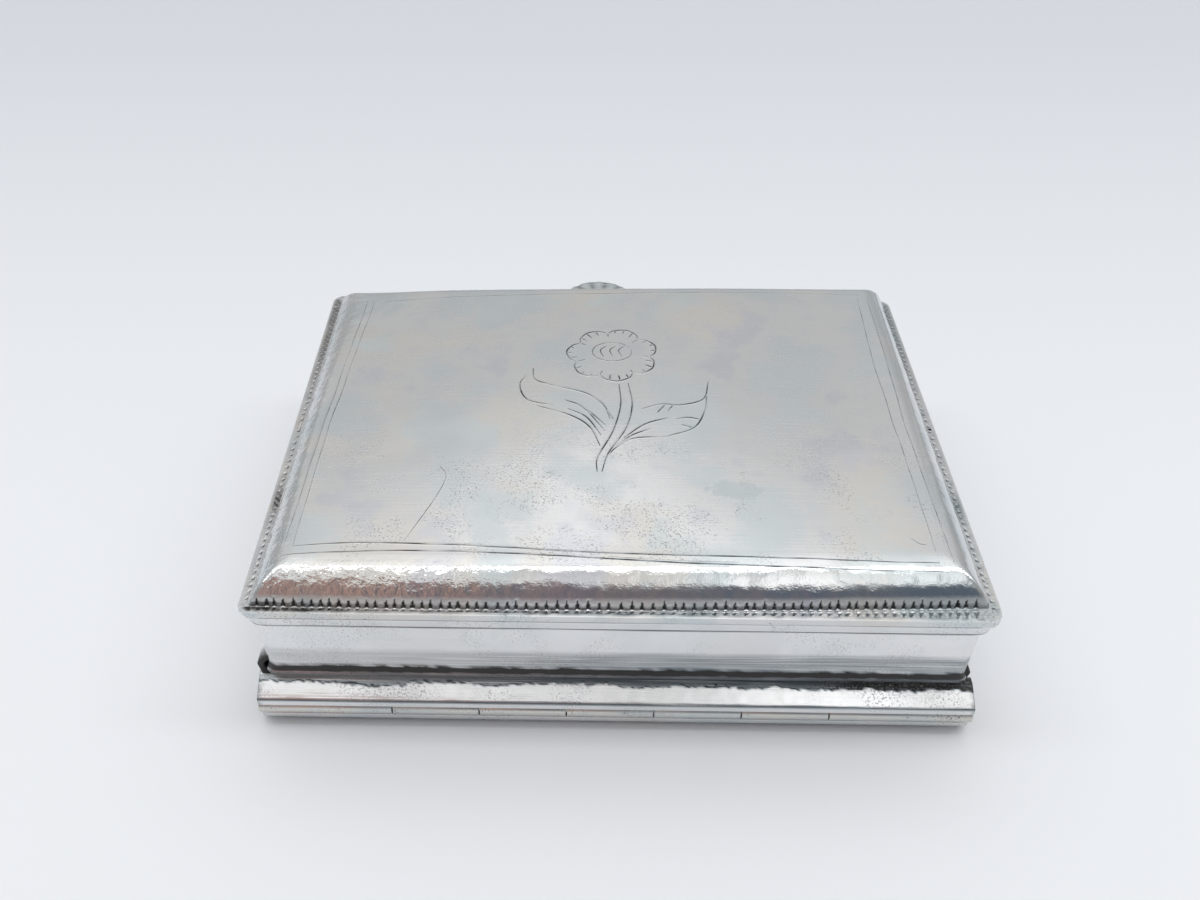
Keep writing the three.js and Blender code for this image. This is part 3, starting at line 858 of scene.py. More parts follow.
def make_strip(name, body, slot, node, levels, thick, line, open_end,
               wave=0.0, edge=FINE_EDGE, pinch=None):
    """Bends one strip. Levels are (outward, height) pairs, line is (x, far y) of the frame's face, and
    open_end gives the y of the end on the hinge side at each height. Pinch is the share by which that end's
    foot is drawn in, and its foot is then painted black, for shade and dirt."""
    side = node.removesuffix("_wall").split("_")[-1]
    reach, other = (line[1], line[0]) if side == "far" else line
    turn = Matrix.Rotation(TURNS[side] * math.pi / 2, 3, "Z")

    def from_hinge(u):
        return {"right": u, "far": 1.0, "left": 1 - u}[side]

    def ends(out, z):
        mitre = other + out - SEAM
        if side == "far":
            return -mitre, mitre
        return (open_end(z), mitre) if side == "right" else (-mitre, -open_end(z))

    def point(u, v, depth):
        i = min(int(v), len(levels) - 2)
        out = levels[i][0] + (levels[i + 1][0] - levels[i][0]) * (v - i)
        z = levels[i][1] + (levels[i + 1][1] - levels[i][1]) * (v - i)
        out *= 1 - (pinch or 0.0) * (1 - soft_step(from_hinge(u), 0, 0.2))
        out -= thick * depth
        start, stop = ends(out, z)
        shift = wave * ripple(u * (stop - start), z, 9, 2.0 + TURNS[side]) * (1 - depth)
        return turn @ Vector((reach + out + shift, start + (stop - start) * u, z))

    # Painted shade with dirt: black at the foot of the hinge end.
    def grime(u, v):
        if pinch is None:
            return 0.0
        return (1 - soft_step(from_hinge(u), 0.015, 0.03)) * (1 - soft_step(v, 12, 15))

    make_sheet(spread(0, 1, 0.02), range(len(levels)), point, grime, edge, name, body, slot, node)


# %% Build the side and far walls
FLARE_HEIGHT = 2.2 * MM
FLARE_RAISE = 0.8 * MM
WALL_WAVE = 0.04 * MM
flare_top = waist + FLARE_RAISE
flare = side_high.x - wall_high.x
levels = [(flare, side_low.z), (flare, flare_top - FLARE_HEIGHT)]
for t in spread(0, 1, 0.08)[1:]:
    levels.append((flare * (1 - soft_step(t, 0, 1)), flare_top - FLARE_HEIGHT + t * FLARE_HEIGHT))
levels += [(0.0, z) for z in spread(flare_top, wall_high.z, 1.2 * MM)[1:]]
print("flare in mm", round(1000 * flare, 2), "from", round(1000 * flare_top, 2), "down")


def behind_near_wall(z):
    """Where a side wall ends behind the near wall and the gutter."""
    drop = min(max(waist - z, 0.0), waist - wall_low.z)
    lean = COVE_RADIUS - math.sqrt(COVE_RADIUS ** 2 - drop ** 2)
    return wall_face + SHEET + 2 * SEAM + lean


wall_line = (wall_high.x, half_y - (half_x - wall_high.x))
PINCHES = {"right": 0.6, "far": 0.0, "left": 0.2}
for side, pinch in PINCHES.items():
    make_strip(f"{side}_side", "cover", "wall_silver", f"{side}_wall", levels, SHEET,
               wall_line, behind_near_wall, WALL_WAVE, pinch=pinch)

# %% [markdown]
# ## Hinge gutter
# A strip rolled over the hinge runs along the near edge: level where it meets the near wall, then over a
# flattened roll and down to a flat rim. Its ends are closed. They are made by drawing the section in to
# a corner over the last third of a millimetre, fast at the very end, so that the end is nearly flat with
# a rounded edge.

# %% Shape of the hinge gutter
GUTTER_RIM = 0.85 * MM
GUTTER_SHEET = 0.7 * MM
GUTTER_END = 0.35 * MM
ROUNDNESS = 0.12
spring_y = gutter_low.y + GUTTER_RUN
spring_z = gutter_low.z + GUTTER_RIM
gutter_rise = gutter_high.z - spring_z
tail_run = gutter_high.y - spring_y
roll = math.pi / 2 * math.hypot(GUTTER_RUN, gutter_rise) / math.sqrt(2)
line_walk = tail_run + roll - 0.1 * MM


def gutter_section(walk, depth):
    """Y and z of the gutter's section after a walk out from its tail."""
    inner = GUTTER_SHEET * depth
    if walk <= tail_run:
        return gutter_high.y - walk, gutter_high.z - inner
    if walk >= tail_run + roll:
        return gutter_low.y + inner, spring_z - (walk - tail_run - roll)
    share = (walk - tail_run) / roll
    turn = share * math.pi / 2
    out = share + ROUNDNESS * (math.sin(turn) - share)
    up = 1 - share + ROUNDNESS * (math.cos(turn) - 1 + share)
    return spring_y - (GUTTER_RUN - inner) * out, spring_z + (gutter_rise - inner) * up


def gutter_point(u, v, depth):
    """Where a point of the gutter's blank ends up."""
    y, z = gutter_section(v, depth)
    end = gutter_high.x - GUTTER_SHEET * depth
    x = math.copysign(min(abs(u) / gutter_high.x, 1.0) * end, u)
    near_end = min(max((abs(u) - gutter_high.x + GUTTER_END) / GUTTER_END, 0.0), 1.0)
    drawn = (1 - near_end ** 6) ** (1 / 6)
    y = gutter_high.y + (y - gutter_high.y) * drawn
    z = gutter_low.z + (z - gutter_low.z) * drawn
    bumps = 0.035 * ripple(u, v, 5, 4.0) + 0.02 * ripple(u, v, 1.1, 5.0)
    rolled = soft_step(v, tail_run, tail_run + 1 * MM) * (1 - soft_step(v, roll, tail_run + roll))
    groove = 0.05 * hump(v - line_walk, 0.08)
    lift = (rolled * bumps - groove) * MM * (1 - depth)
    return Vector((x, y - lift, z + 0.5 * lift))


# %% Painted shade, reflection and dirt in the hinge gutter
def gutter_shade_and_dirt(u, v):
    """A dark strip below the near wall, painted for the shaded wall that it mirrors, black along its ragged
    edge, black with shade and dirt in the crease, and a dark line of painted shade in the groove below.
    """
    ragged = 0.5 * MM * ripple(u, v, 5, 7.0) + 0.35 * MM * ripple(u, v, 0.7, 1.0)
    crease = 1 - soft_step(v + 0.5 * ragged, tail_run - 0.4 * MM, tail_run - 0.1 * MM)
    crease *= 1 - soft_step(abs(u), wall_high.x - 0.5 * MM, wall_high.x + 0.8 * MM)
    edge = v + 1.2 * ragged - tail_run - 1.0 * MM
    # Painted reflection: the dark strip and its ragged black edge.
    strip = 1 - step_mm(edge, -0.1, 0.15)
    rim = 0.95 * hump(edge, 0.14)
    line = 0.95 * hump(v - line_walk, 0.15)
    ends = 0.4 * soft_step(abs(u) + ragged, gutter_high.x - 0.9 * MM, gutter_high.x - 0.2 * MM)
    strip *= 0.5 + 0.2 * step_mm(u, -28, 5) + 0.2 * step_mm(u, 20, 30)
    return min(1.0, max(crease, strip, rim, line, ends))


# %% Bend the hinge gutter
end_steps = [gutter_high.x - GUTTER_END * (1 - math.sin(t) ** 0.6) for t in spread(0, math.pi / 2, 0.1)]
gutter_columns = mirrored([-x for x in reversed(end_steps)], 0.4 * MM)
gutter_rows = [*spread(0, tail_run, 0.3 * MM), *spread(tail_run, tail_run + roll, 0.16 * MM)[1:],
               *spread(tail_run + roll, tail_run + roll + GUTTER_RIM, 0.3 * MM)[1:]]
make_sheet(gutter_columns, gutter_rows, gutter_point, gutter_shade_and_dirt, FINE_EDGE,
           "gutter_roll", "cover", "wall_silver", "hinge_gutter")

# %% [markdown]
# ## Hinge
# Seven short tubes turn on one pin, four soldered into the gutter and three onto the base. A tube is a
# ring between two circles, drawn out along the hinge. A leaf is pulled from its top or its bottom first,
# so that tube and leaf are one piece, and the ends get a fine bevel that shows each split as a line.

# %% Build the knuckles and the pin
KNUCKLE_RADIUS = 1 * MM
BORE_RADIUS = 0.6 * MM
LEAF_HALF = 0.55 * KNUCKLE_RADIUS
TUBE_EDGE = 0.05 * MM
PIN_EDGE = 0.1 * MM
AXIS = Vector(frame["joints"][0]["pos_m"])
TUBE_SIDES = 40


def make_knuckle(node, body):
    """A tube with its leaf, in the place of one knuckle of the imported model."""
    low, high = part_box(node)
    bm = bmesh.new()
    outer = bmesh.ops.create_circle(bm, radius=KNUCKLE_RADIUS, segments=TUBE_SIDES)["verts"]
    bmesh.ops.create_circle(bm, radius=BORE_RADIUS, segments=TUBE_SIDES)
    bmesh.ops.rotate(bm, verts=bm.verts[:], matrix=Matrix(((0, 0, 1), (1, 0, 0), (0, 1, 0))))
    bmesh.ops.bridge_loops(bm, edges=bm.edges[:])
    tip = (high if body == "cover" else low).z - AXIS.z
    crest_verts = [v for v in outer if v.co.z * tip > 0 and abs(v.co.y) < LEAF_HALF]
    crest = [e for e in bm.edges if e.is_boundary and all(v in crest_verts for v in e.verts)]
    leaf = bmesh.ops.extrude_edge_only(bm, edges=crest)["geom"]
    for vert in (item for item in leaf if isinstance(item, bmesh.types.BMVert)):
        vert.co.z = tip
    bmesh.ops.translate(bm, vec=(high.x - low.x, 0, 0), verts=pull_out(bm))
    bmesh.ops.translate(bm, vec=(low.x, AXIS.y, AXIS.z), verts=bm.verts[:])
    clean(bm)
    round_edges(bm, TUBE_EDGE, 2)
    make_piece(bm, node.replace("knuckle", "tube"), body, "hinge_silver", node)


for body, count in (("cover", 4), ("base", 3)):
    for number in range(1, count + 1):
        make_knuckle(f"{body}_knuckle_{number}", body)
pin_low, pin_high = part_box("hinge_pin")
pin = bmesh.new()
pin_radius = (pin_high.z - pin_low.z) / 2
bmesh.ops.create_cone(pin, cap_ends=True, segments=TUBE_SIDES, radius1=pin_radius, radius2=pin_radius,
                      depth=pin_high.x - pin_low.x)
bmesh.ops.rotate(pin, verts=pin.verts[:], matrix=Matrix.Rotation(math.pi / 2, 3, "Y"))
bmesh.ops.translate(pin, vec=AXIS, verts=pin.verts[:])
round_edges(pin, PIN_EDGE)
make_piece(pin, "pin_rod", "base", "hinge_silver", "hinge_pin")

# %% [markdown]
# ## Base
# The base is a sheet with a flat border and a dished middle that the box stands on. It is the same kind
# of blank as the top plate, with the dish as a function of the inset.

# %% Build the base plate
BASE_SHEET = 0.85 * MM
BASE_BORDER = 5.2 * MM
DISH_RUN = 5.8 * MM
BASE_CORNER = 0.9 * MM
dish = base_high.z - BASE_SHEET - base_low.z
base_middle = (base_low.y + base_high.y) / 2
base_half = Vector((base_high.x, (base_high.y - base_low.y) / 2))


def base_point(u, v, depth):
    """Where a point of the base's blank ends up. Depth 0 is the underside."""
    inset = min(base_half.x - abs(u), base_half.y - abs(v))
    in_x, in_y = round_corner(base_half.x - abs(u), base_half.y - abs(v), BASE_CORNER + inset / 4)
    x = math.copysign(base_half.x - in_x, u)
    y = base_middle + math.copysign(base_half.y - in_y, v)
    z = dish * (1 - soft_step(inset, BASE_BORDER, BASE_BORDER + DISH_RUN))
    z += 0.05 * MM * abs(ripple(x, y, 14, 3.0)) * step_mm(inset, 6, 12)
    return Vector((x, y, base_low.z + z + BASE_SHEET * depth))


def base_lines(half):
    """Grid lines of the base, closer over the slope of the dish."""
    insets = [0, 0.3 * MM, *spread(1 * MM, BASE_BORDER, 1.4 * MM)]
    insets += spread(BASE_BORDER, BASE_BORDER + DISH_RUN, 0.6 * MM)[1:]
    return mirrored([inset - half for inset in insets], 2 * MM)


make_sheet(base_lines(base_half.x), base_lines(base_half.y), base_point, None, SOFT_EDGE,
           "base_pan", "base", "base_silver", "base_plate")

# %% Build the strips of the base and the bezel
STRIP_PITCH = 0.8 * MM


def strip_set(piece, node, slot, thick, edge):
    """The right, far and left strips of one frame on the base."""
    low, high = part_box(f"{node}_right")
    line = (high.x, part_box(f"{node}_far")[1].y)
    for side in TURNS:
        bottom, top = (corner.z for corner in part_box(f"{node}_{side}"))
        levels = [(0.0, z) for z in spread(bottom, top, STRIP_PITCH)]
        make_strip(f"{piece}_{side}", "base", slot, f"{node}_{side}", levels, thick,
                   line, lambda z: low.y, edge=edge)


low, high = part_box("base_rim_right")
strip_set("base_strip", "base_rim", "base_silver", high.x - low.x, SOFT_EDGE)
strip_set("bezel_strip", "bezel", "inner_silver", SHEET, FINE_EDGE)
low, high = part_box("bezel_near")
bar = bmesh.new()
bmesh.ops.create_cube(bar, size=1)
bmesh.ops.scale(bar, vec=high - low, verts=bar.verts[:])
bmesh.ops.translate(bar, vec=(low + high) / 2, verts=bar.verts[:])
round_edges(bar, SOFT_EDGE)
make_piece(bar, "bezel_bar", "base", "inner_silver", "bezel_near")

# %% [markdown]
# ## Thumbpiece
# A small cast shell on the far rim lifts the cover. It is a fan: the blank's one line is the angle and the
# other the radius, with seven rounded lobes whose height and length follow a cosine, and a rough dark skin.

# %% Build the thumbpiece
thumb_low, thumb_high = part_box("thumbpiece")
LOBES = 7
SPREAD = math.radians(84)
thumb_middle = (thumb_low.x + thumb_high.x) / 2
thumb_reach = thumb_high.y - thumb_low.y


def lobe_at(angle):
    """1 on the crest of a lobe, and 0 in the valley between two."""
    return abs(math.cos(angle / SPREAD * math.pi / 2 * LOBES))


def shell_point(u, v, depth):
    """Where a point of the shell ends up: u is the angle, v goes from the root to the rim."""
    lobe = lobe_at(u)
    radius = thumb_reach * (0.12 + v * (0.86 + 0.01 * lobe))
    x = radius * math.sin(u)
    y = radius * math.cos(u)
    rough = 0.1 * ripple(x, y, 0.9, 3.0)
    top = thumb_high.z - thumb_low.z - 0.12 * MM
    z = top * (0.75 + 0.35 * v) - (1 - lobe) * 0.07 * MM * v + rough * MM
    under = 0.25 * MM + 0.2 * top * v
    return Vector((thumb_middle + x, thumb_low.y + y, thumb_low.z + (under if depth > 0.5 else z)))


def shell_dirt_and_shade(u, v):
    """Dirt and painted shade in the valleys of the shell, over a faint film all over."""
    return 0.2 + 0.4 * (1 - lobe_at(u))


make_sheet(spread(-SPREAD, SPREAD, SPREAD / 42), spread(0, 1, 0.06), shell_point, shell_dirt_and_shade, 0.2 * MM,
           "thumb_shell", "cover", "cast_silver", "thumbpiece", segments=2)

# %% [markdown]
# ## Writing finishes as sums
# A finish is a node material. The nodes are easier to read as arithmetic, so a small class wraps a socket
# and turns Python's operators into Math nodes. One method makes any other node from its type, its
# settings and what goes into its sockets.

# %% A class for sockets
class Wire:
    """One output socket, with shader arithmetic in Python's operators."""

    def __init__(self, graph, socket):
        self.graph = graph
        self.socket = socket

    def maths(self, operation, first, second):
        return self.graph.node("ShaderNodeMath", {"operation": operation}, {0: first, 1: second})

    def __add__(self, other):
        return self.maths("ADD", self, other)

    def __sub__(self, other):
        return self.maths("SUBTRACT", self, other)

    def __rsub__(self, other):
        return self.maths("SUBTRACT", other, self)

    def __mul__(self, other):
        return self.maths("MULTIPLY", self, other)

    def above(self, other):
        return self.maths("MAXIMUM", self, other)

    __radd__ = __add__
    __rmul__ = __mul__


# %% A class for node graphs
class Graph:
    """The nodes of one material or world."""

    def __init__(self, owner):
        owner.use_nodes = True
        self.tree = owner.node_tree

    def node(self, kind, settings=None, inputs=None, output=0):
        """Adds a node: its settings are set first, then its sockets are filled or linked."""
        made = self.tree.nodes.new(kind)
        for key, value in (settings or {}).items():
            if key == "stops":
                self.set_stops(made.color_ramp, value)
            else:
                setattr(made, key, value)
        for key, value in (inputs or {}).items():
            self.feed(made.inputs[key], value)
        return Wire(self, made.outputs[output])

    def set_stops(self, ramp, stops):
        while len(ramp.elements) < len(stops):
            ramp.elements.new(0.5)
        for element, (place, colour) in zip(ramp.elements, stops):
            element.position = place
            element.color = colour

    def feed(self, socket, value):
        if isinstance(value, Wire):
            self.tree.links.new(value.socket, socket)
        else:
            socket.default_value = value

    def shade(self, name, sockets):
        """Fills sockets of the node that shades the surface or the room."""
        for key, value in sockets.items():
            self.feed(self.tree.nodes[name].inputs[key], value)

    def axes(self, vector):
        """The x, y and z of a vector."""
        split = self.node("ShaderNodeSeparateXYZ", {}, {0: vector}).socket.node
        return [Wire(self, output) for output in split.outputs]

    def mix(self, factor, first, second):
        """One colour over another."""
        return self.node("ShaderNodeMix", {"data_type": "RGBA"}, {0: factor, 6: first, 7: second}, 2)

    def mask(self, value, low, high):
        """A smooth step from 0 at low to 1 at high."""
        sockets = {"Value": value, "From Min": low, "From Max": high}
        return self.node("ShaderNodeMapRange", {"interpolation_type": "SMOOTHSTEP"}, sockets)

    def cloud(self, place, scale, detail=4.0, rough=0.55):
        """Noise from 0 to 1. Scale is in bumps for each millimetre."""
        sockets = {"Vector": place, "Scale": scale, "Detail": detail, "Roughness": rough}
        return self.node("ShaderNodeTexNoise", {}, sockets)


# %% [markdown]
# ## Worn silver
# All pieces are the same metal in different states. Silver is bright and nearly neutral, and what makes it
# look old is where it is less so: broad clouds of beige and blue-grey tarnish, groups of small pits, fine
# scratches from rubbing, and black dirt and painted shade where no cloth reaches. Each of these is a mask
# from noise in millimetres, except the dirt and painted shade, which come from the attribute that the
# pieces carry. The grey film from that attribute is tinted warm grey on the left and blue-grey on the right
# and low down, as painted reflection.

# %% Colours of worn silver
# The walls' silver is lighter than the plate's: painted light, which keeps the walls bright where they
# mirror the shaded floor.
WALL_BRIGHTENED = (0.83, 0.835, 0.84, 1)
BRIGHT = (0.70, 0.705, 0.71, 1)
WARM_TARNISH = (0.675, 0.655, 0.615, 1)
COOL_TARNISH = (0.575, 0.635, 0.655, 1)
LAVENDER = (0.615, 0.625, 0.685, 1)
DULL = (0.47, 0.52, 0.54, 1)
PITTED = (0.23, 0.235, 0.235, 1)
# The film's two tints are painted reflection, and the last colour is the black of dirt and painted shade.
FILM_AND_REFLECTION_LEFT = (0.21, 0.205, 0.205, 1)
FILM_AND_REFLECTION_RIGHT = (0.17, 0.20, 0.22, 1)
DIRT_AND_SHADE = (0.03, 0.028, 0.026, 1)


# %% Masks of the metal's state
def scratches(graph, place, turn, length, fine):
    """Fine parallel lines: noise stretched along one direction."""
    sockets = {"Vector": place, "Rotation": turn, "Scale": (1 / length, fine, fine)}
    return graph.cloud(graph.node("ShaderNodeMapping", {}, sockets), 1.0, 2.0, 0.5)


def blot(graph, place, middle, size):
    """A patch with a ragged edge: 1 inside and 0 outside."""
    away = graph.node("ShaderNodeVectorMath", {"operation": "SUBTRACT"}, {0: place, 1: middle})
    share = (1 / size[0], 1 / size[1], 0.0)
    scaled = graph.node("ShaderNodeVectorMath", {"operation": "MULTIPLY"}, {0: away, 1: share})
    reach = graph.node("ShaderNodeVectorMath", {"operation": "LENGTH"}, {0: scaled}, "Value")
    return graph.mask(reach + graph.cloud(place, 0.8) * 1.8, 1.95, 1.7)


def find_wear(graph, place, tarnish, pits, brush, foil):
    """Where the metal is tarnished, pitted, scratched, dirty or darkened by painted shade, and where the
    plate's slope is.
    """
    mask, cloud = graph.mask, graph.cloud
    across, along, level = graph.axes(place)
    grime = graph.node("ShaderNodeAttribute", {"attribute_name": "grime"}, output="Fac")
    wear = SimpleNamespace()
    wear.broad = cloud(place, 0.06, 5.0, 0.52)
    wear.speck = cloud(place, 4.2, 2.0, 0.6)
    wear.lines = scratches(graph, place, brush, 14.0, 5.0)
    other = cloud(place, 0.09, 5.0, 0.54)
    wear.warm = mask(wear.broad, 0.46, 0.62) * tarnish
    wear.cool = mask(other, 0.46, 0.6) * tarnish
    wear.violet = mask(other, 0.44, 0.34) * tarnish
    wear.matte = blot(graph, place, (14.0, -15.4, 0.0), (3.6, 1.6)) * foil
    wear.slope = mask(level, 21.0, 21.8) * mask(level, 24.75, 24.3) * foil
    wear.foot = mask(level, 22.6, 21.9) * wear.slope
    wear.foiled = wear.slope * (mask(across, -8.0, -26.0) * 0.8 + 0.2)
    rubbed = mask(cloud(place, 0.14, 3.0), 0.48, 0.6) * (mask(along, -2.0, -14.0) * 0.8 + 0.2)
    rubbed = rubbed.above(blot(graph, place, (5.0, -20.8, 0.0), (7.0, 3.2)) * foil)
    wear.pit = mask(wear.speck, 0.55, 0.65) * (rubbed * 0.85 + 0.06) * (1 - wear.slope) * pits
    film = graph.node("ShaderNodeMapRange", {}, {"Value": grime, "From Max": 0.7})
    wear.film = film * (1 - mask(wear.lines, 0.5, 0.68) * 0.5)
    # Painted reflection: the film turns blue-grey on the right and low down.
    wear.bluish = mask(across, -25.0, 10.0).above(mask(level, 9.0, 7.0))
    wear.black = mask(grime + (wear.speck - 0.5) * 0.35, 0.72, 0.95)
    return wear


# %% The silver finish
def silver_colour(graph, wear, base):
    """The metal's colour under its layers of tarnish, pits, film and black dirt. The film and the black
    carry painted shade too, and the film's tint is painted reflection.
    """
    film_colour = graph.mix(wear.bluish, FILM_AND_REFLECTION_LEFT, FILM_AND_REFLECTION_RIGHT)
    layers = [(wear.warm * 0.75, WARM_TARNISH), (wear.cool * 0.7, COOL_TARNISH),
              (wear.violet * 0.6, LAVENDER), (wear.matte * 0.6, DULL), (wear.pit * 0.65, PITTED),
              (wear.film, film_colour), (wear.black, DIRT_AND_SHADE)]
    colour = base
    for amount, tint in layers:
        colour = graph.mix(amount, colour, tint)
    return colour


def silver_roughness(graph, wear, clean_metal):
    """Stains, scratches and dirt are rougher than clean metal, and the slope above its foot is smoother."""
    stain = wear.warm * 0.10 + wear.cool * 0.08 + wear.matte * 0.15 + wear.pit * 0.2
    rough = clean_metal + wear.broad * 0.10 + stain + graph.mask(wear.lines, 0.58, 0.75) * 0.05
    return rough * (1 - wear.slope * 0.5) + wear.foot * 0.32 + wear.film * 0.12 + wear.black * 0.25


def silver_normal(graph, place, wear, scored):
    """Relief of scratches, grain and pits, and on the plate's slope the wrinkles of foil."""
    grain = graph.cloud(place, 9.0, 2.0, 0.6)
    wrinkles = graph.cloud(place, 0.8, 3.0, 0.6) * wear.foiled * 28.0
    waves = graph.cloud(place, 0.25, 2.0) * wear.slope * 30.0
    bumps = wear.lines * scored + grain * 0.5 + wear.speck * (wear.foot * 4.0 + wear.slope * 1.6 + 0.4)
    height = bumps + wrinkles + waves - wear.pit * 2.2
    sockets = {"Strength": 0.35, "Distance": 0.02 * MM, "Height": height}
    return graph.node("ShaderNodeBump", {}, sockets, "Normal")


def silver(name, roughness, tarnish, pits, brush, base=BRIGHT, foil=0.0, scored=0.8):
    """A silver finish. Brush is the turn of its scratches and scored their depth. Foil is 1 for the top
    plate, whose slope is wrinkled and which has two patches of its own."""
    material = bpy.data.materials.new(name)
    graph = Graph(material)
    where = graph.node("ShaderNodeTexCoord", output="Object")
    place = graph.node("ShaderNodeVectorMath", {"operation": "SCALE"}, {0: where, "Scale": 1000.0})
    wear = find_wear(graph, place, tarnish, pits, brush, foil)
    graph.shade("Principled BSDF", {
        "Base Color": silver_colour(graph, wear, base),
        "Roughness": silver_roughness(graph, wear, roughness),
        "Metallic": 1 - wear.black * 0.6,
        "Normal": silver_normal(graph, place, wear, scored),
    })
    return material


# %% Finishes for the slots
ALONG_X = (0.0, 0.0, 0.0)
UPRIGHT = (0.0, math.pi / 2, 0.0)
SLANTED = (0.0, 0.0, 0.6)
finishes = {
    "plate_silver": silver("plate_silver", 0.16, 1.0, 1.0, SLANTED, foil=1.0),
    "wall_silver": silver("wall_silver", 0.15, 0.3, 0.6, UPRIGHT, base=WALL_BRIGHTENED, scored=2.0),
    "hinge_silver": silver("hinge_silver", 0.22, 0.8, 1.5, ALONG_X, base=(0.68, 0.67, 0.63, 1)),
    "cast_silver": silver("cast_silver", 0.38, 1.0, 0.6, SLANTED, base=(0.37, 0.36, 0.345, 1)),
    "base_silver": silver("base_silver", 0.2, 0.9, 0.7, ALONG_X),
    "inner_silver": silver("inner_silver", 0.26, 1.0, 0.5, ALONG_X),
}
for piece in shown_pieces():
    if "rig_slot" in piece:
        piece.data.materials.clear()
        piece.data.materials.append(finishes[piece["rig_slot"]])

# %% [markdown]
# ## Floor, light and camera
# The box stands on a pale floor, painted darker towards the far side as painted shade. Polished silver
# shows what is around it, so the studio matters as much as the finish. The room is grey low down and pale
# above, with a dimmer part to each side of the camera. A long, narrow lamp hangs overhead: its light falls
# almost straight down, which keeps the shadow on the floor short and dark, and the shoulder of the near
# slope shows it as a thin white line.

# %% Floor
FLOOR_HALF = 1.5
FLOOR_DROP = 0.02 * MM
PAPER_NEAR = (0.87, 0.90, 0.935, 1)
PAPER_FAR_SHADED = (0.655, 0.685, 0.735, 1)


def stage_sheet(bm, name, finish):
    """Turns a bmesh into a sheet of the studio. Gives the sheet and the graph of its material."""
    mesh = bpy.data.meshes.new(name)
    bm.to_mesh(mesh)
    bm.free()
    sheet = add_object(name, mesh)
    sheet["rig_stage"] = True
    mesh.materials.append(bpy.data.materials.new(finish))
    return sheet, Graph(mesh.materials[0])


floor_mesh = bmesh.new()
bmesh.ops.create_grid(floor_mesh, x_segments=1, y_segments=1, size=FLOOR_HALF)
bmesh.ops.translate(floor_mesh, vec=(0, 0, base_low.z - FLOOR_DROP), verts=floor_mesh.verts[:])
floor, paper = stage_sheet(floor_mesh, "floor", "paper")
away = paper.axes(paper.node("ShaderNodeTexCoord", output="Object"))[1]
# Painted shade: the paper darkens towards the far side.
paper_colour = paper.mix(paper.mask(away, -0.06, 0.24), PAPER_NEAR, PAPER_FAR_SHADED)
paper.shade("Principled BSDF", {"Base Color": paper_colour, "Roughness": 0.7})
print("floor in m", [round(x, 2) for x in floor.dimensions])

# %% Room
world = bpy.data.worlds.new("room")
bpy.context.scene.world = world
room = Graph(world)
side_way, ahead_way, height = room.axes(room.node("ShaderNodeTexCoord", output="Generated"))


def grey_ramp(*stops):
    """Greys of the room by the height of the direction, from 0 at the horizon to 1 overhead."""
    greys = [(at, (value, value, value, 1)) for at, value in stops]
    return room.node("ShaderNodeValToRGB", {"stops": greys}, {0: height})


low_grey = ((0, 0.45), (0.4, 0.62), (0.6, 0.66))
overhead = ((0.83, 1.4), (0.94, 1.3), (1, 0.5))
far_dark = grey_ramp(*low_grey, (0.66, 0.58), (0.73, 0.82), (0.79, 0.95), *overhead)
far_middle = grey_ramp(*low_grey, (0.67, 0.65), (0.72, 1.3), (0.79, 1.1), *overhead)
far_pale = grey_ramp((0, 0.45), (0.4, 0.6), (0.6, 0.8), (0.8, 0.85), (0.9, 0.65), (1, 0.4))
near_pale = grey_ramp((0, 0.5), (0.5, 0.85), (0.7, 1.4), (0.79, 1.4), (0.85, 0.78), (0.95, 0.8), (1, 0.6))
near_bright = grey_ramp((0, 0.5), (0.5, 1.0), (0.7, 1.4), (0.85, 1.4), (0.92, 1.3), (0.96, 0.9), (1, 0.6))
near_dim = grey_ramp((0, 0.3), (0.6, 0.4), (0.8, 0.5), (1, 0.5))
aside = side_way.maths("ABSOLUTE", side_way, 0.0)
far_side = room.mix(room.mask(aside, 0.03, 0.12), far_middle, far_dark)
far_side = room.mix(room.mask(aside, 0.25, 0.5), far_side, far_pale)
window = room.mask(side_way, 0.11, 0.17).above(room.mask(side_way, -0.04, -0.1) * 0.5)
near_side = room.mix(window, near_pale, near_bright)
near_side = room.mix(room.mask(aside, 0.3, 0.5), near_side, near_dim)
room_colour = room.mix(room.mask(ahead_way, -0.35, 0.1), near_side, far_side)
room.shade("Background", {"Color": room_colour, "Strength": 1.0})
print("room nodes", len(room.tree.nodes))

# %% [markdown]
# A photographer darkens the lower half of the view behind the camera with a card, so that the near slope
# gets a dark band and its roundness shows. The card is russet on one side and blue on the other. Its top
# edge slants, and its colour fades to grey there, so that the band has a soft edge.

# %% Dark card
CARD_WIDTH = 0.85
CARD_HEIGHT = 0.5
CARD_LIFT = 0.5
CARD_MIDDLE = Vector((0, -0.6, 0.37))
CARD_FADE = 0.14
RUSSET = (0.49, 0.32, 0.28, 1)
MAUVE = (0.20, 0.18, 0.20, 1)
BLUE = (0.11, 0.14, 0.18, 1)
CARD_EDGE = (0.75, 0.75, 0.75, 1)
card_mesh = bmesh.new()
bmesh.ops.create_grid(card_mesh, x_segments=1, y_segments=1, size=0.5)
bmesh.ops.scale(card_mesh, vec=(CARD_WIDTH, CARD_HEIGHT, 1), verts=card_mesh.verts[:])
bmesh.ops.rotate(card_mesh, verts=card_mesh.verts[:], matrix=Matrix.Rotation(-math.pi / 2, 3, "X"))
bmesh.ops.translate(card_mesh, vec=CARD_MIDDLE, verts=card_mesh.verts[:])
top_left = [vert for vert in card_mesh.verts if vert.co.x < 0 and vert.co.z > CARD_MIDDLE.z]
bmesh.ops.translate(card_mesh, vec=(0, 0, CARD_LIFT), verts=top_left)
card, felt = stage_sheet(card_mesh, "card", "felt")
card.visible_camera = False
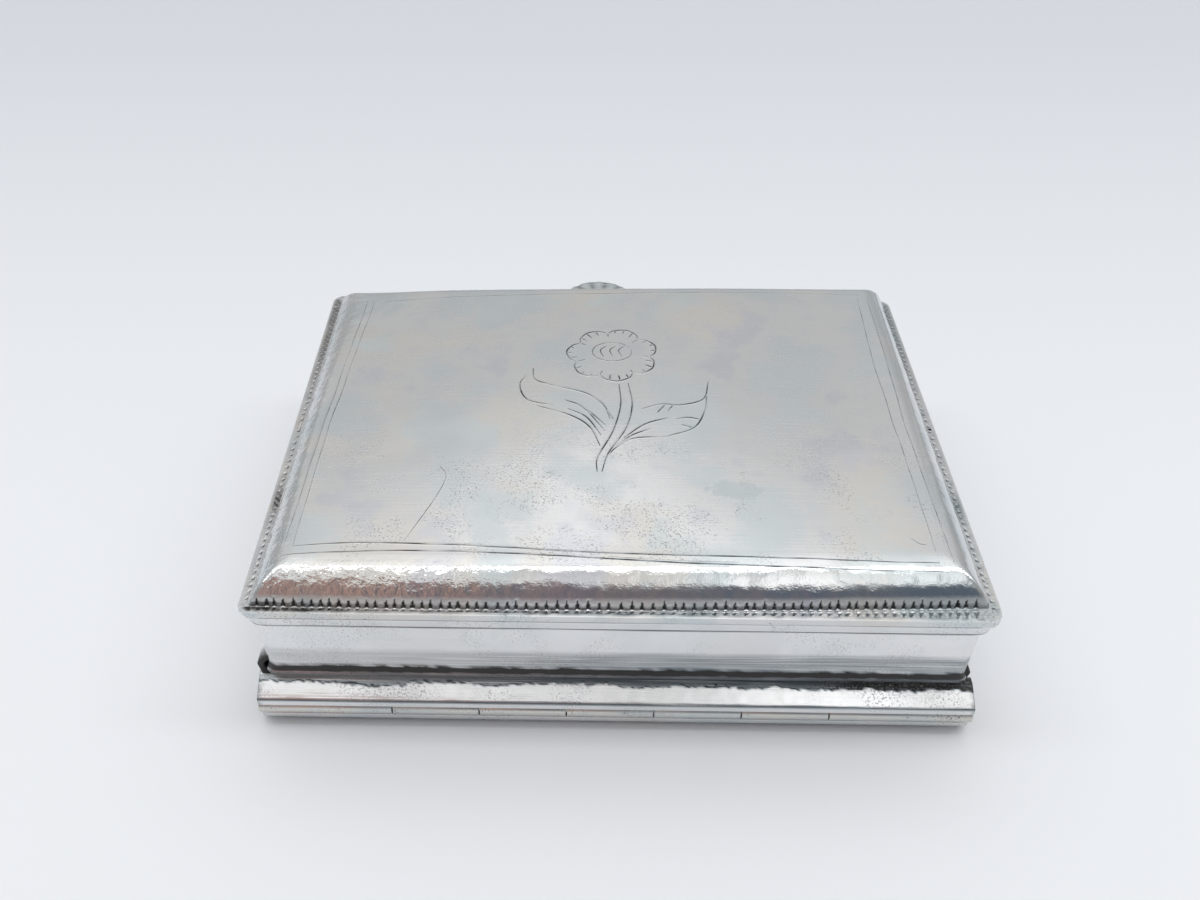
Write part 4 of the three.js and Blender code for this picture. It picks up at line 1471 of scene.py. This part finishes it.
felt_side, _, felt_level = felt.axes(felt.node("ShaderNodeTexCoord", output="Object"))
felt_colour = felt.mix(felt.mask(felt_side, -0.3, 0.05), RUSSET, MAUVE)
felt_colour = felt.mix(felt.mask(felt_side, 0.0, 0.3), felt_colour, BLUE)
edge_height = CARD_MIDDLE.z + (CARD_HEIGHT + CARD_LIFT) / 2
past_edge = felt_level + felt_side * (CARD_LIFT / CARD_WIDTH) - edge_height
felt_colour = felt.mix(felt.mask(past_edge, -CARD_FADE, 0.0), felt_colour, CARD_EDGE)
felt.shade("Principled BSDF", {"Emission Color": felt_colour, "Emission Strength": 1.0,
                               "Base Color": (0.01, 0.01, 0.01, 1), "Specular IOR Level": 0.0})
print("card in m", [round(x, 2) for x in card.dimensions])

# %% Lamp
lamp_data = bpy.data.lights.new("overhead", "AREA")
lamp_data.shape = "RECTANGLE"
lamp_data.size = 2.2
lamp_data.size_y = 0.2
lamp_data.energy = 4.5
lamp = add_object("overhead", lamp_data)
lamp.location = (0.12, 0.01, 1.0)
print("lamp", lamp_data.size, "by", lamp_data.size_y, "m")

# %% [markdown]
# The camera looks down at the near edge from a hand's height. Its place and its three turns were found by
# matching the corners of the flange and the lines of the hinge.

# %% Camera
CAMERA_PLACE = Vector((-4.71, -111.48, 114.58)) * MM
PITCH = math.radians(40.99)
YAW = math.radians(-1.04)
ROLL = math.radians(-0.04)
tilt = Matrix(((1, 0, 0), (0, math.sin(PITCH), math.cos(PITCH)), (0, math.cos(PITCH), -math.sin(PITCH))))
right, up, ahead = tilt @ Matrix.Rotation(YAW, 3, "Z")
camera_right = math.cos(ROLL) * right + math.sin(ROLL) * up
camera_up = math.cos(ROLL) * up - math.sin(ROLL) * right
camera_data = bpy.data.cameras.new("camera")
camera_data.lens = 33
camera_data.sensor_width = 36
camera_data.shift_x = 0.0308
camera = add_object("camera", camera_data)
turned = Matrix((camera_right, camera_up, -ahead)).transposed().to_4x4()
camera.matrix_world = Matrix.Translation(CAMERA_PLACE) @ turned
bpy.context.scene.camera = camera
bpy.context.scene.view_settings.view_transform = "Standard"
print("camera in mm", [round(1000 * x, 1) for x in CAMERA_PLACE])

# %% Measure and finish
low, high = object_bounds()
print("visual size in mm", [round(1000 * x, 2) for x in high - low])
